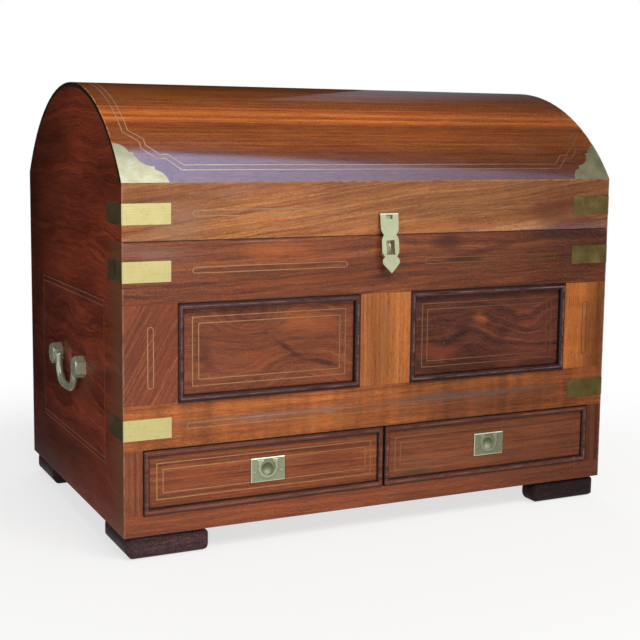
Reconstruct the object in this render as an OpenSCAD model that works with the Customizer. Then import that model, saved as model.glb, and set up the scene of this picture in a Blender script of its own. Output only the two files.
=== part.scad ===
// Dowry chest: a wooden chest with a domed lid, two drawers, brass bands and drop handles.
// Lengths are in millimetres. +X is to the right, +Y to the back and +Z up, and the front faces -Y.
// The origin is on the floor, below the middle of the whole chest.

/* [Chest] */
// Width of the chest
chest_w = 760; // [620:5:960]
// Depth of the chest
chest_d = 490; // [420:5:620]
// Height of the body, from the underside of its boards to its rim
body_h = 382; // [350:1:460]
// Thickness of the front, back and side boards
board_t = 20; // [17:0.5:23]
// Gap left round a panel or an inner board
wood_fit = 0.2; // [0.1:0.05:0.4]
// Width of a glued joint between two boards or strips
glue_gap = 0.1; // [0.05:0.05:0.2]

/* [Front] */
// Height of the top rail
top_rail_h = 80.6; // [70:0.2:95]
// Height of the rail between the panels and the drawers
mid_rail_h = 59.1; // [50:0.1:72]
// Height of the rail below the drawers
bottom_rail_h = 27; // [22:0.5:36]
// Height of the opening for the drawers
bay_h = 86.3; // [76:0.1:96]
// Width of the stiles beside the panels
stile_w = 74.3; // [68:0.1:95]
// Width of the muntin between the panels
muntin_w = 80.4; // [60:0.2:100]
// Width of the stiles beside the drawers
bay_stile_w = 26; // [25:0.5:40]
// Depth of the panels below the face
panel_recess = 4; // [2:0.5:6]

/* [Sides] */
// Height of a side's top rail
side_top_rail_h = 80; // [70:1:95]
// Height of a side's bottom rail
side_bottom_rail_h = 77; // [60:1:95]
// Width of a side's stiles
side_stile_w = 78; // [70:1:95]

/* [Inside] */
// Thickness of the floor of the well
well_floor_t = 12; // [8:1:16]
// Height of the well floor above the opening for the drawers
well_floor_rise = 4; // [2:1:10]
// Thickness of the base board
base_t = 12; // [8:1:18]
// Thickness of the divider between the drawers
divider_t = 12; // [8:1:18]
// Number of boards across the back
back_boards_n = 3; // [2:1:4]

/* [Mouldings] */
// Width of the bead moulding
bead_w = 8; // [6.5:0.5:10]
// Height of the bead above the face
bead_proud = 2.5; // [1.5:0.5:3]

/* [Feet] */
// Width of a foot
foot_w = 115; // [80:1:140]
// Depth of a foot
foot_d = 105; // [80:1:130]
// Thickness of the two boards that make a foot
foot_t = 26; // [22:1:40]
// Height of a foot
foot_h = 32; // [20:1:45]
// Inset of the feet from the sides
foot_inset_x = 4.5; // [0:0.5:20]
// Inset of the feet from the front and the back
foot_inset_y = 3; // [0:1:20]
// Radius of the feet's rounded edges
foot_round = 9; // [2:1:9]
// Radius of the feet's ends, seen from the front
foot_end_round = 14; // [2:1:15]

/* [Lid] */
// Height from the rim to the spring of the dome
lid_rail_h = 74; // [62:1:95]
// Rise of the dome above its spring
dome_rise = 133; // [110:1:170]
// Thickness of the dome's skin
dome_skin_t = 6; // [4:0.5:9]
// Gap between the lid and the rim
lid_gap = 0.3; // [0.2:0.1:1]

/* [Drawers] */
// Thickness of the drawer fronts
drawer_front_t = 18; // [14:1:22]
// Depth of the drawer fronts below the face
drawer_recess = 2; // [1:0.5:4]
// Gap above and beside the drawer fronts
drawer_gap = 0.7; // [0.4:0.1:1.4]
// Gap between the two drawer fronts
drawer_mid_gap = 2.5; // [1:0.5:4]
// Gap between a drawer and the board that it slides on
drawer_lift = 0.3; // [0.2:0.1:0.6]
// Gap beside the drawer boxes
drawer_run_gap = 0.6; // [0.4:0.1:1.2]
// Space behind the drawer boxes
drawer_back_gap = 12; // [4:1:30]
// Thickness of the drawers' sides and backs
drawer_side_t = 9; // [7:1:12]
// Thickness of the drawers' bottoms
drawer_bottom_t = 6; // [4:1:8]
// Height of the drawer boxes below the top of the opening
drawer_box_drop = 12; // [6:1:24]

/* [Inlay] */
// Width of the inlaid stringing
string_w = 1.3; // [0.8:0.1:2]
// Depth of the inlaid stringing
string_d = 0.8; // [0.5:0.1:1.2]
// Height of the long inlaid loops
loop_h = 9; // [6:0.5:14]
// Distance of the rail loops' outer ends from the sides
loop_inset = 94; // [85:1:120]
// Length of the loops in the lid rail and the top rail
loop_l = 225; // [150:1:240]
// Distance of the middle rail's loop from the sides
mid_loop_inset = 86; // [80:1:120]
// Height of the upright loops in the stiles
stile_loop_h = 81; // [60:1:95]
// Distance of the stile loops below the middle of the stiles
stile_loop_down = 4; // [0:1:8]
// Height of the upright loop in the muntin
muntin_loop_h = 93; // [70:1:100]
// Distance of the stile loops from the sides
stile_loop_inset = 37; // [30:1:46]
// Inset of the panels' outer line at the sides
panel_line_inset = 20.5; // [15:0.5:24]
// Inset of the panels' outer line at the top and bottom
panel_line_inset_z = 18.5; // [14:0.5:22]
// Inset of the drawers' outer line
drawer_line_inset = 18; // [14:0.5:22]
// Distance between the two lines of a panel or a drawer
line_pair = 8.5; // [6:0.5:12]
// Inset of the side panels' line
side_line_inset = 2.5; // [1.5:0.5:10]
// Distance between the paired lines at the top and bottom of a side
side_line_pair = 7; // [4:0.5:14]
// Distance of the dome's inlay from its edges
dome_line_inset = 19; // [12:0.5:26]
// Distance between the dome's two lines
dome_line_pair = 8; // [5:0.5:11]
// Reach of the stepped corners of the dome's inlay
dome_line_corner = 84; // [76:1:110]
// Share of a stepped corner that each of its end steps takes
dome_step_share = 0.28; // [0.2:0.02:0.34]
// Share of a stepped corner that each of its flats takes
dome_flat_share = 0.18; // [0.1:0.02:0.24]

/* [Brass] */
// Thickness of the brass bands and corner mounts
band_t = 1.2; // [0.8:0.1:2]
// Height of the brass above the wood
band_proud = 0.3; // [0.2:0.1:0.7]
// Height of the bands
band_h = 27; // [18:0.5:34]
// Length of the bands on the front
band_front_l = 65; // [40:1:80]
// Length of the bands on the sides
band_side_l = 62; // [40:1:80]
// Distance of the lid's bands above the rim
lid_band_up = 34.8; // [28:0.2:42]
// Distance of the upper bands below the rim
top_band_down = 38.4; // [28:0.2:46]
// Distance of the lower bands above the opening for the drawers
mid_band_up = 27.3; // [20:0.1:34]
// Length of the dome's corner mounts along each edge
mount_l = 63; // [58:1:70]
// Size of the square part of the corner mounts
mount_square = 48; // [44:1:52]
// Radius of the hollow in the corner mounts
mount_cove = 23.5; // [16:0.5:27]
// Radius of the corner mounts' round ends
mount_lobe = 19.5; // [16:0.5:22]

/* [Butt hinges] */
// Length of a hinge
hinge_l = 66; // [50:1:90]
// Distance between the outer hinges
hinge_span = 520; // [300:5:560]
// Number of hinges
hinges_n = 3; // [2:1:4]
// Radius of the hinge barrels
barrel_r = 4; // [3.5:0.1:5]
// Radius of the hinge pins
hinge_pin_r = 2; // [1.5:0.1:2.5]
// Running clearance round the hinge pins
hinge_pin_fit = 0.05; // [0.02:0.01:0.1]
// Gap between the barrels and the back boards
barrel_gap = 0.3; // [0.3:0.1:1]
// Gap between neighbouring barrels
knuckle_gap = 0.2; // [0.2:0.1:0.5]
// Thickness of the leaves
leaf_t = 2; // [1.5:0.1:2.5]
// Depth of the leaves over the boards
leaf_d = 15; // [13:0.5:16]
// Length of the hinge screws
hinge_screw_l = 14; // [10:1:18]
// Radius of the hinge screws
hinge_screw_r = 1.6; // [1.2:0.1:2]
// Gap round a screw or a stem in the wood
screw_fit = 0.05; // [0.02:0.01:0.1]

/* [Hasp] */
// Width of the hasp
hasp_w = 28; // [26:0.5:34]
// Distance from the hasp's pin to its tip
hasp_l = 81; // [78:0.5:90]
// Thickness of the hasp
hasp_t = 1.1; // [0.9:0.1:1.4]
// Gap between the shut hasp and the face
hasp_back_gap = 2.9; // [2.5:0.1:3.1]
// Distance of the hasp's pin above the rim
hasp_pin_up = 28; // [26:0.5:32]
// Radius of the hasp's barrels
hasp_barrel_r = 1.9; // [1.7:0.1:2]
// Distance of the hasp's pin from the face
hasp_pin_off = 2.1; // [2:0.1:2.5]
// Radius of the hasp's pin
hasp_pin_r = 0.8; // [0.6:0.05:0.9]
// Running clearance round the hasp's pin
hasp_pin_fit = 0.05; // [0.02:0.01:0.1]
// Width of the fixed leaf's barrel
hasp_knuckle_w = 9.6; // [8:0.2:12]
// Width of the fixed leaf
hasp_leaf_w = 24; // [20:0.5:25]
// Distance of the fixed leaf's end above the rim
hasp_leaf_up = 4; // [2:0.5:6]
// Thickness of the fixed leaf and of the staple's plate
hasp_leaf_t = 1.2; // [0.8:0.1:1.3]
// Distance of the fixed leaf's lower screw from its end
hasp_screw_up = 5; // [4:0.5:7]
// Distance between the fixed leaf's two screws
hasp_screw_step = 10; // [7:0.5:11]
// Radius of the fixed leaf's screws
hasp_screw_r = 1; // [0.8:0.1:1.2]
// Length of the fixed leaf's screws
hasp_screw_l = 10; // [8:1:14]
// Width of the hasp's neck
hasp_neck = 19; // [17:0.5:21]
// Width of the hasp below its neck
hasp_bulge = 26.6; // [24:0.2:28]
// Gap between the hasp and the fixed leaf's barrel
hasp_side_gap = 0.2; // [0.1:0.05:0.4]
// Height of the hasp's notch below its pin
hasp_notch = 6.3; // [5:0.1:7]
// Distance of the hasp's heart below its slot
hasp_heart_down = 2.5; // [2:0.5:4]
// Clearance between the resting hasp and the staple, so that the lid can open
hasp_clear = 0.8; // [0.6:0.1:2]
// Width of the hasp's slot
slot_w = 13; // [9:0.5:15]
// Height of the hasp's slot
slot_h = 20; // [19:0.5:21]
// Distance of the staple below the rim
staple_down = 17.5; // [17:0.5:18]
// Reach of the staple from the face
staple_reach = 9; // [8.2:0.1:9.2]
// Radius of the staple's wire
staple_r = 0.9; // [0.8:0.1:1.2]
// Depth of the staple's legs in the wood
staple_leg_l = 9; // [5:1:14]
// Width of the staple's plate
staple_plate_w = 18; // [16:0.5:22]
// Height of the staple's plate
staple_plate_h = 27; // [24:0.5:30]
// Radius of the staple plate's corners
staple_plate_round = 3; // [1:0.5:5]

/* [Ring pulls] */
// Width of a pull's plate
plate_w = 50; // [46:0.5:60]
// Height of a pull's plate
plate_h = 33.3; // [30:0.1:40]
// Thickness of a pull's plate
plate_t = 3.6; // [3.4:0.1:4.5]
// Height of the plate above the drawer front
plate_proud = 1; // [0.5:0.1:1.5]
// Width of the bevel round the plate's face
plate_bevel_w = 1.5; // [0.8:0.1:2]
// Depth of the bevel at the plate's edge
plate_bevel_h = 0.7; // [0.3:0.1:0.8]
// Width of the ring
ring_w = 29; // [27:0.5:32]
// Height of the ring
ring_h = 26; // [24:0.5:28]
// Height of the ring's middle above the plate's middle
ring_up = 1; // [0:0.5:1.5]
// Width of the ring's band
ring_band = 3.5; // [3:0.1:4.4]
// Width of the gap between the ring's arms
ring_mouth = 13; // [10:0.5:16]
// Thickness of the ring
ring_t = 2; // [1.8:0.1:2.1]
// Depth of the ring below the plate's face
ring_set = 0.1; // [0.1:0.1:0.3]
// Radius of the ring's stub axles
ring_axle_r = 0.75; // [0.6:0.05:0.8]
// Length of the ring's stub axles beyond its arms
ring_axle_l = 3; // [2:0.5:4]
// Running clearance round the ring's stub axles
ring_axle_fit = 0.06; // [0.02:0.01:0.1]
// Gap round the ring in its groove
ring_gap = 0.5; // [0.3:0.1:0.8]
// Radius of the finger cup at its mouth
cup_r = 9; // [8:0.5:10.5]
// Distance of the cup's middle below the middle of the ring's bend
cup_down = 2.5; // [1.5:0.5:3]
// Depth of the finger cup
cup_d = 7; // [5:0.5:8.5]
// Thickness of the cup's wall
cup_wall = 1; // [0.8:0.1:1.5]
// Gap round the cup in the drawer front
cup_gap = 1; // [0.5:0.5:2]
// Distance between a plate's two screws
plate_screw_span = 40; // [38:0.5:43]
// Distance of a plate's screws below its middle
plate_screw_down = 2.5; // [0:0.5:4]
// Radius of the plate screws
plate_screw_r = 1.2; // [1:0.1:1.4]
// Length of the plate screws
plate_screw_l = 12; // [8:1:14]
// Radius of the plate screws' heads
plate_head_r = 2.3; // [1.9:0.1:2.5]
// Height of the plate screws' heads
plate_head_h = 1.4; // [1:0.1:1.8]

/* [Drop handles] */
// Distance of the handles' axis below the rim
handle_down = 189; // [150:1:200]
// Distance from a handle's middle to each boss
boss_y = 62; // [56:0.5:70]
// Width of a boss across its flats
boss_af = 27; // [22:0.5:30]
// Height of a boss above the side
boss_proud = 15; // [13.5:0.5:20]
// Chamfer round a boss's face
boss_chamfer = 2.5; // [1:0.5:4]
// Radius of a boss's stem
stem_r = 3; // [2.5:0.1:4]
// Distance of the bail's axis from the side
bail_off = 8; // [7.5:0.5:9]
// Radius of the bail's bar
bail_r = 5.2; // [3.5:0.1:5.6]
// Distance from the bail's axis down to the middle of its grip
bail_drop = 37.5; // [35:0.5:50]
// Radius of the bail's bends
bail_bend = 27; // [18:0.5:33]
// Gap between the bail and the bosses
bail_gap = 1.3; // [0.8:0.1:2]
// Radius of the bail's stub axles
bail_axle_r = 2.5; // [2:0.1:3]
// Length of the bail's stub axles inside the bosses
bail_axle_l = 9; // [6:0.5:11]
// Running clearance round the bail's stub axles
bail_axle_fit = 0.08; // [0.02:0.01:0.1]
// Width of the handle nuts across their flats
nut_af = 12; // [10:0.5:14]
// Thickness of the handle nuts
nut_t = 5; // [4:0.5:8]
// Length of a boss's stem beyond its nut
stem_end = 1; // [0.5:0.5:3]

/* [Hidden] */
$fn = 64;

// Length that a cutting solid runs past the face that it cuts
cut = 1;

// Places across the chest
half_w = chest_w / 2;
hinge_out = barrel_gap + 2 * barrel_r;
hasp_hang = hasp_back_gap - hasp_pin_off;
slot_low = hasp_pin_up + staple_down + slot_h / 2;
// Angle that the hasp stands out, at which the bar below its slot clears the staple
hasp_rest = asin((staple_reach + hasp_clear - hasp_pin_off) / norm([hasp_hang, slot_low]))
    - atan2(hasp_hang, slot_low);
tip_out = hasp_pin_off + (hasp_back_gap + hasp_t - hasp_pin_off) * cos(hasp_rest) + hasp_l * sin(hasp_rest);
front_y = (tip_out - hinge_out - chest_d) / 2;
back_y = front_y + chest_d;
mid_y = (front_y + back_y) / 2;
in_y = front_y + board_t;
in_back_y = back_y - board_t;
in_x = half_w - board_t;

// Heights
bay_z0 = foot_h + bottom_rail_h;
bay_z1 = bay_z0 + bay_h;
panel_z0 = bay_z1 + mid_rail_h;
rim_z = foot_h + body_h;
panel_z1 = rim_z - top_rail_h;
lid_z0 = rim_z + lid_gap;
crease_z = rim_z + lid_rail_h;
well_z0 = bay_z1 + well_floor_rise;
panel_x0 = muntin_w / 2;
panel_x1 = half_w - stile_w;
bay_x = half_w - bay_stile_w;
side_z0 = foot_h + side_bottom_rail_h;
side_z1 = rim_z - side_top_rail_h;
side_y0 = front_y + side_stile_w;
side_y1 = back_y - side_stile_w;

// The dome is one circular arc over the depth of the chest
dome_r = (pow(chest_d / 2, 2) + pow(dome_rise, 2)) / (2 * dome_rise);
dome_z = crease_z + dome_rise - dome_r;
dome_half = asin(chest_d / 2 / dome_r);
dome_arc = dome_r * dome_half * PI / 90;
// Angle that a length along the arc turns through
function arc_deg(s) = s / dome_r * 180 / PI;

// Middles of the bands and of the inlaid loops beside them
lid_band_z = rim_z + lid_band_up;
top_band_z = rim_z - top_band_down;
mid_band_z = bay_z1 + mid_band_up;

// Drawers
drawer_w = bay_x - drawer_gap - drawer_mid_gap / 2;
drawer_x = drawer_mid_gap / 2 + drawer_w / 2;
drawer_z0 = bay_z0 + drawer_lift;
drawer_z1 = bay_z1 - drawer_gap;
drawer_z = (drawer_z0 + drawer_z1) / 2;
drawer_y = front_y + drawer_recess;
box_y0 = drawer_y + drawer_front_t;
box_y1 = in_back_y - drawer_back_gap;
box_x0 = divider_t / 2 + drawer_run_gap;
box_x1 = bay_x - drawer_run_gap;
box_z1 = bay_z1 - drawer_box_drop;

// Ring pulls, measured from the middle of the plate and the drawer front's face
ring_r = ring_w / 2;
ring_hole_r = ring_r - ring_band;
ring_axle_z = ring_up + ring_h / 2 - ring_t / 2;
ring_bend_z = ring_up + ring_r - ring_h / 2;
cup_z = ring_bend_z - cup_down;
ring_y0 = -plate_proud + ring_set;
ring_y = ring_y0 + ring_t / 2;
groove_y = ring_y0 + ring_t + ring_gap / 2;
cup_sphere = (cup_r * cup_r + cup_d * cup_d) / (2 * cup_d);

// Handles
handle_z = rim_z - handle_down;
boss_flat = boss_y - boss_af / 2;
bail_leg_y = boss_flat - bail_gap - bail_r;
boss_r = boss_af / sqrt(3);

// Hinges
hinge_y = back_y + barrel_gap + barrel_r;
hinge_z = rim_z + lid_gap / 2;
knuckles = 5;
knuckle_l = hinge_l / knuckles;
// Shape of a countersunk head: its radius over the screw's, and its share of a leaf's thickness
head_ratio = 2;
head_share = 0.9;
hinge_step = hinge_span / (hinges_n - 1);

// Hasp
hasp_y = front_y - hasp_pin_off;
hasp_z = rim_z + hasp_pin_up;
staple_z = rim_z - staple_down;
hasp_leaf_l = hasp_pin_up - hasp_leaf_up;
// Share of a lobe's radius at which the heart's straight side starts, so that it crosses the circle
heart_share = 0.995;

wood_dark = [0.30, 0.13, 0.07];
wood_mid = [0.45, 0.20, 0.10];
wood_light = [0.62, 0.33, 0.15];
wood_inside = [0.66, 0.48, 0.30];
wood_black = [0.13, 0.08, 0.09];
inlay_tan = [0.78, 0.60, 0.34];
brass = [0.78, 0.66, 0.36];
brass_grey = [0.62, 0.62, 0.48];

// Basic shapes

// A box from its lowest corner to its highest corner
module block(a, b) {
    translate(a) cube(b - a);
}

// A board of the front wall, mitred where it reaches the corner of the chest
module front_board(x0, x1, z0, z1) {
    m0 = x0 <= -half_w ? board_t : 0;
    m1 = x1 >= half_w ? board_t : 0;
    translate([0, 0, z0]) linear_extrude(z1 - z0)
        polygon([[x0, front_y], [x1, front_y], [x1 - m1, in_y], [x0 + m0, in_y]]);
}

module back_board(z0, z1) {
    translate([0, 0, z0]) linear_extrude(z1 - z0)
        polygon([[-half_w, back_y], [-in_x, in_back_y], [in_x, in_back_y], [half_w, back_y]]);
}

// A board of the left wall
module side_board(y0, y1, z0, z1) {
    m0 = y0 <= front_y ? board_t : 0;
    m1 = y1 >= back_y ? board_t : 0;
    translate([0, 0, z0]) linear_extrude(z1 - z0)
        polygon([[-half_w, y0], [-in_x, y0 + m0], [-in_x, y1 - m1], [-half_w, y1]]);
}

// Lays a flat drawing on a wall: x stays x, y becomes z, and the extrusion goes in from the face
module on_front(y, out, deep) {
    translate([0, y + deep, 0]) rotate([90, 0, 0]) linear_extrude(deep + out) children();
}

// The same on the left wall: the drawing's x is the chest's y
module on_left(out, deep) {
    translate([-half_w - out, 0, 0]) rotate([90, 0, 90]) linear_extrude(deep + out) children();
}

module rect(x0, x1, z0, z1) {
    translate([x0, z0]) square([x1 - x0, z1 - z0]);
}

// One inlaid line round a rectangle
module line_rect(x0, x1, z0, z1) {
    difference() {
        rect(x0, x1, z0, z1);
        rect(x0 + string_w, x1 - string_w, z0 + string_w, z1 - string_w);
    }
}

module capsule(x0, x1, z0, z1) {
    r = min(x1 - x0, z1 - z0) / 2;
    rect(x1 - x0 > z1 - z0 ? x0 + r : x0, x1 - x0 > z1 - z0 ? x1 - r : x1,
         x1 - x0 > z1 - z0 ? z0 : z0 + r, x1 - x0 > z1 - z0 ? z1 : z1 - r);
    translate([x0 + r, z0 + r]) circle(r);
    translate([x1 - r, z1 - r]) circle(r);
}

// One inlaid line round a long loop with round ends
module line_loop(x0, x1, z0, z1) {
    difference() {
        capsule(x0, x1, z0, z1);
        capsule(x0 + string_w, x1 - string_w, z0 + string_w, z1 - string_w);
    }
}

// Two inlaid lines, one inside the other
module line_pair_rect(x0, x1, z0, z1) {
    line_rect(x0, x1, z0, z1);
    line_rect(x0 + line_pair, x1 - line_pair, z0 + line_pair, z1 - line_pair);
}

module both_sides() {
    children();
    mirror([1, 0, 0]) children();
}

// Inlay of the body, where out is how far it stands out of the wood

module rail_loops(z) {
    rect_x = half_w - loop_inset;
    line_loop(-rect_x, -rect_x + loop_l, z - loop_h / 2, z + loop_h / 2);
    line_loop(rect_x - loop_l, rect_x, z - loop_h / 2, z + loop_h / 2);
}

module front_rail_lines(out) {
    on_front(front_y, out, string_d) rail_loops(top_band_z);
    on_front(front_y, out, string_d)
        line_loop(mid_loop_inset - half_w, half_w - mid_loop_inset,
                  mid_band_z - loop_h / 2, mid_band_z + loop_h / 2);
}

module upright_loops(out) {
    mid_z = (panel_z0 + panel_z1) / 2;
    low_z = mid_z - stile_loop_down;
    on_front(front_y, out, string_d) {
        line_loop(-loop_h / 2, loop_h / 2, mid_z - muntin_loop_h / 2, mid_z + muntin_loop_h / 2);
        for (x = [-half_w + stile_loop_inset, half_w - stile_loop_inset])
            line_loop(x - loop_h / 2, x + loop_h / 2, low_z - stile_loop_h / 2, low_z + stile_loop_h / 2);
    }
}

module panel_lines(out) {
    x = panel_line_inset;
    z = panel_line_inset_z;
    on_front(front_y + panel_recess, out, string_d)
        line_pair_rect(panel_x0 + x, panel_x1 - x, panel_z0 + z, panel_z1 - z);
}

// The lines of the left side: a rectangle, with a second line beside its top and its bottom
module side_lines(out) {
    y0 = side_y0 + side_line_inset;
    y1 = side_y1 - side_line_inset;
    z0 = side_z0 + side_line_inset;
    z1 = side_z1 - side_line_inset;
    on_left(out, string_d) {
        line_rect(y0, y1, z0, z1);
        rect(y0 + string_w, y1 - string_w, z0 + side_line_pair, z0 + side_line_pair + string_w);
        rect(y0 + string_w, y1 - string_w, z1 - side_line_pair - string_w, z1 - side_line_pair);
    }
}

// Brass bands round the front corners

// The band round the left front corner, grown outwards by more when it is a pocket
module band(z, more) {
    x0 = -half_w - band_proud - more;
    y0 = front_y - band_proud - more;
    deep = band_t + more;
    translate([0, 0, z - band_h / 2]) linear_extrude(band_h)
        polygon([[x0, y0], [band_front_l - half_w, y0], [band_front_l - half_w, y0 + deep],
                 [x0 + deep, y0 + deep], [x0 + deep, front_y + band_side_l],
                 [x0, front_y + band_side_l]]);
}

module body_bands(more) {
    both_sides() {
        band(top_band_z, more);
        band(mid_band_z, more);
    }
}

// Front of the body

module front_top_rail() {
    color(wood_dark) difference() {
        front_board(-half_w, half_w, panel_z1, rim_z);
        front_rail_lines(cut);
        body_bands(cut);
        staple_holes();
    }
}

module front_mid_rail() {
    color(wood_light) difference() {
        front_board(-half_w, half_w, bay_z1, panel_z0);
        front_rail_lines(cut);
        body_bands(cut);
    }
}

module front_bottom_rail() {
    color(wood_mid) front_board(-half_w, half_w, foot_h, bay_z0);
}

module front_left_stile() {
    color(wood_mid) difference() {
        front_board(-half_w, -panel_x1, panel_z0, panel_z1);
        upright_loops(cut);
        body_bands(cut);
    }
}

module front_right_stile() {
    color(wood_mid) difference() {
        front_board(panel_x1, half_w, panel_z0, panel_z1);
        upright_loops(cut);
        body_bands(cut);
    }
}

module front_muntin() {
    color(wood_light) difference() {
        front_board(-panel_x0, panel_x0, panel_z0, panel_z1);
        upright_loops(cut);
    }
}

module drawer_bay_stiles() {
    color(wood_mid) {
        front_board(-half_w, -bay_x, bay_z0, bay_z1);
        front_board(bay_x, half_w, bay_z0, bay_z1);
    }
}

module front_panel() {
    color(wood_mid) difference() {
        block([panel_x0 + wood_fit, front_y + panel_recess, panel_z0 + wood_fit],
              [panel_x1 - wood_fit, in_y, panel_z1 - wood_fit]);
        panel_lines(cut);
    }
}

// Bead moulding: four mitred strips round a rectangle, with a round top

// A strip's cross-section: x is across the strip, y is out of the face
module bead_profile(deep) {
    top_r = (pow(bead_w / 2, 2) + pow(bead_proud, 2)) / (2 * bead_proud);
    translate([0, -deep]) square([bead_w, deep]);
    intersection() {
        translate([bead_w / 2, bead_proud - top_r]) circle(top_r);
        square([bead_w, bead_proud + cut]);
    }
}

// The strip along the bottom of a rectangle, mitred at both ends
module bead_bottom(x0, x1, z0, z1, y, deep) {
    intersection() {
        translate([x0, y, z0]) rotate([90, 0, 90]) linear_extrude(x1 - x0)
            mirror([1, 0]) rotate([0, 0, 90]) bead_profile(deep);
        on_front(y - bead_proud, 0, bead_proud + deep)
            polygon([[x0 + glue_gap, z0], [x1 - glue_gap, z0],
                     [x1 - bead_w - glue_gap, z0 + bead_w], [x0 + bead_w + glue_gap, z0 + bead_w]]);
    }
}

module bead_left(x0, x1, z0, z1, y, deep) {
    intersection() {
        translate([x0, y, z0]) linear_extrude(z1 - z0) mirror([0, 1]) bead_profile(deep);
        on_front(y - bead_proud, 0, bead_proud + deep)
            polygon([[x0, z0], [x0 + bead_w, z0 + bead_w], [x0 + bead_w, z1 - bead_w], [x0, z1]]);
    }
}

module bead_frame(x0, x1, z0, z1, y, deep) {
    bead_bottom(x0, x1, z0, z1, y, deep);
    translate([0, 0, z0 + z1]) mirror([0, 0, 1]) bead_bottom(x0, x1, z0, z1, y, deep);
    bead_left(x0, x1, z0, z1, y, deep);
    translate([x0 + x1, 0, 0]) mirror([1, 0, 0]) bead_left(x0, x1, z0, z1, y, deep);
}

module panel_moulding() {
    color(wood_dark)
        bead_frame(panel_x0 + wood_fit, panel_x1 - wood_fit, panel_z0 + wood_fit,
                   panel_z1 - wood_fit, front_y, panel_recess);
}

// Sides, back and inside

module left_side_frame() {
    color(wood_dark) difference() {
        union() {
            side_board(front_y, back_y, foot_h, side_z0);
            side_board(front_y, back_y, side_z1, rim_z);
            side_board(front_y, side_y0, side_z0 + glue_gap, side_z1 - glue_gap);
            side_board(side_y1, back_y, side_z0 + glue_gap, side_z1 - glue_gap);
        }
        body_bands(cut);
    }
}

module left_side_panel() {
    color(wood_dark) difference() {
        side_board(side_y0 + wood_fit, side_y1 - wood_fit, side_z0 + wood_fit, side_z1 - wood_fit);
        side_lines(cut);
        for (s = [-1, 1])
            translate([-half_w - cut, mid_y + s * boss_y, handle_z]) rotate([0, 90, 0])
                cylinder(r = stem_r + screw_fit, h = board_t + 2 * cut);
    }
}

module back_boards() {
    each_h = body_h / back_boards_n;
    color(wood_dark) difference() {
        for (i = [0 : back_boards_n - 1])
            back_board(foot_h + i * each_h + (i > 0 ? glue_gap : 0), foot_h + (i + 1) * each_h);
        hinge_pockets(rim_z - leaf_t, rim_z + cut);
        chest_screw_set(screw_fit);
    }
}

module well_floor() {
    color(wood_inside)
        block([-in_x + wood_fit, in_y + wood_fit, well_z0],
              [in_x - wood_fit, in_back_y - wood_fit, well_z0 + well_floor_t]);
}

module base_board() {
    color(wood_inside)
        block([-in_x + wood_fit, in_y + wood_fit, bay_z0 - base_t],
              [in_x - wood_fit, in_back_y - wood_fit, bay_z0]);
}

module drawer_divider() {
    color(wood_inside)
        block([-divider_t / 2, box_y0 + drawer_run_gap, bay_z0],
              [divider_t / 2, in_back_y - wood_fit, well_z0]);
}

// Guides beside the drawers, which carry the ends of the well floor too
module drawer_guides() {
    color(wood_inside) both_sides()
        block([-in_x + wood_fit, in_y + wood_fit, bay_z0], [-bay_x, in_back_y - wood_fit, well_z0]);
}

// A bracket foot: two boards under the corner of the chest, with every outer edge rounded. hollow_y is where the
// space behind its front or back board starts
module foot(y0, hollow_y) {
    x0 = -half_w + foot_inset_x;
    x1 = x0 + foot_w;
    y1 = y0 + foot_d;
    end_round = min(foot_end_round, foot_h / 2 - 1);
    difference() {
        intersection() {
            translate([0, y1, 0]) rotate([90, 0, 0]) linear_extrude(foot_d)
                round_rect(x0, x1, 0, foot_h, end_round);
            translate([x0, 0, 0]) rotate([90, 0, 90]) linear_extrude(foot_w)
                round_rect(y0, y1, 0, foot_h, foot_round);
            linear_extrude(foot_h) round_rect(x0, x1, y0, y1, foot_round);
        }
        translate([x0 + foot_t, hollow_y, -cut])
            cube([foot_w - foot_t + cut, foot_d - foot_t + cut, foot_h + 2 * cut]);
    }
}

module round_rect(x0, x1, z0, z1, r) {
    rect(x0 + r, x1 - r, z0, z1);
    rect(x0, x1, z0 + r, z1 - r);
    for (x = [x0 + r, x1 - r])
        for (z = [z0 + r, z1 - r])
            translate([x, z]) circle(r);
}

module front_feet() {
    y0 = front_y + foot_inset_y;
    color(wood_black) both_sides() foot(y0, y0 + foot_t);
}

module back_feet() {
    y0 = back_y - foot_inset_y - foot_d;
    color(wood_black) both_sides() foot(y0, y0 - cut);
}

module chest_stringing() {
    color(inlay_tan) {
        front_rail_lines(0);
        upright_loops(0);
        both_sides() {
            panel_lines(0);
            side_lines(0);
        }
    }
}

module chest_bands() {
    color(brass) body_bands(0);
}

// Butt hinges of the lid

module at_hinges() {
    for (i = [0 : hinges_n - 1])
        translate([(i - (hinges_n - 1) / 2) * hinge_step, 0, 0]) children();
}

module hinge_pockets(z0, z1) {
    at_hinges() block([-hinge_l / 2, back_y - leaf_d, z0], [hinge_l / 2, back_y + cut, z1]);
}

// A leaf, which lies on z0 to z1, with its own knuckles out of the five
module hinge_leaf(z0, z1, own) {
    difference() {
        union() {
            block([-hinge_l / 2, back_y - leaf_d, z0], [hinge_l / 2, back_y, z1]);
            for (i = own) {
                x0 = (i - knuckles / 2) * knuckle_l + (i > 0 ? knuckle_gap / 2 : 0);
                x1 = (i + 1 - knuckles / 2) * knuckle_l - (i < knuckles - 1 ? knuckle_gap / 2 : 0);
                block([x0, back_y, z0], [x1, hinge_y, z1]);
                translate([x0, hinge_y, hinge_z]) rotate([0, 90, 0]) cylinder(r = barrel_r, h = x1 - x0);
            }
        }
        translate([-hinge_l / 2 - cut, hinge_y, hinge_z]) rotate([0, 90, 0])
            cylinder(r = hinge_pin_r + hinge_pin_fit, h = hinge_l + 2 * cut);
    }
}

// Places of the three screws in a leaf
module at_hinge_screws() {
    at_hinges() for (k = [-1, 0, 1])
        translate([k * hinge_l / 3, back_y - leaf_d / 2, 0]) children();
}

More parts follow.
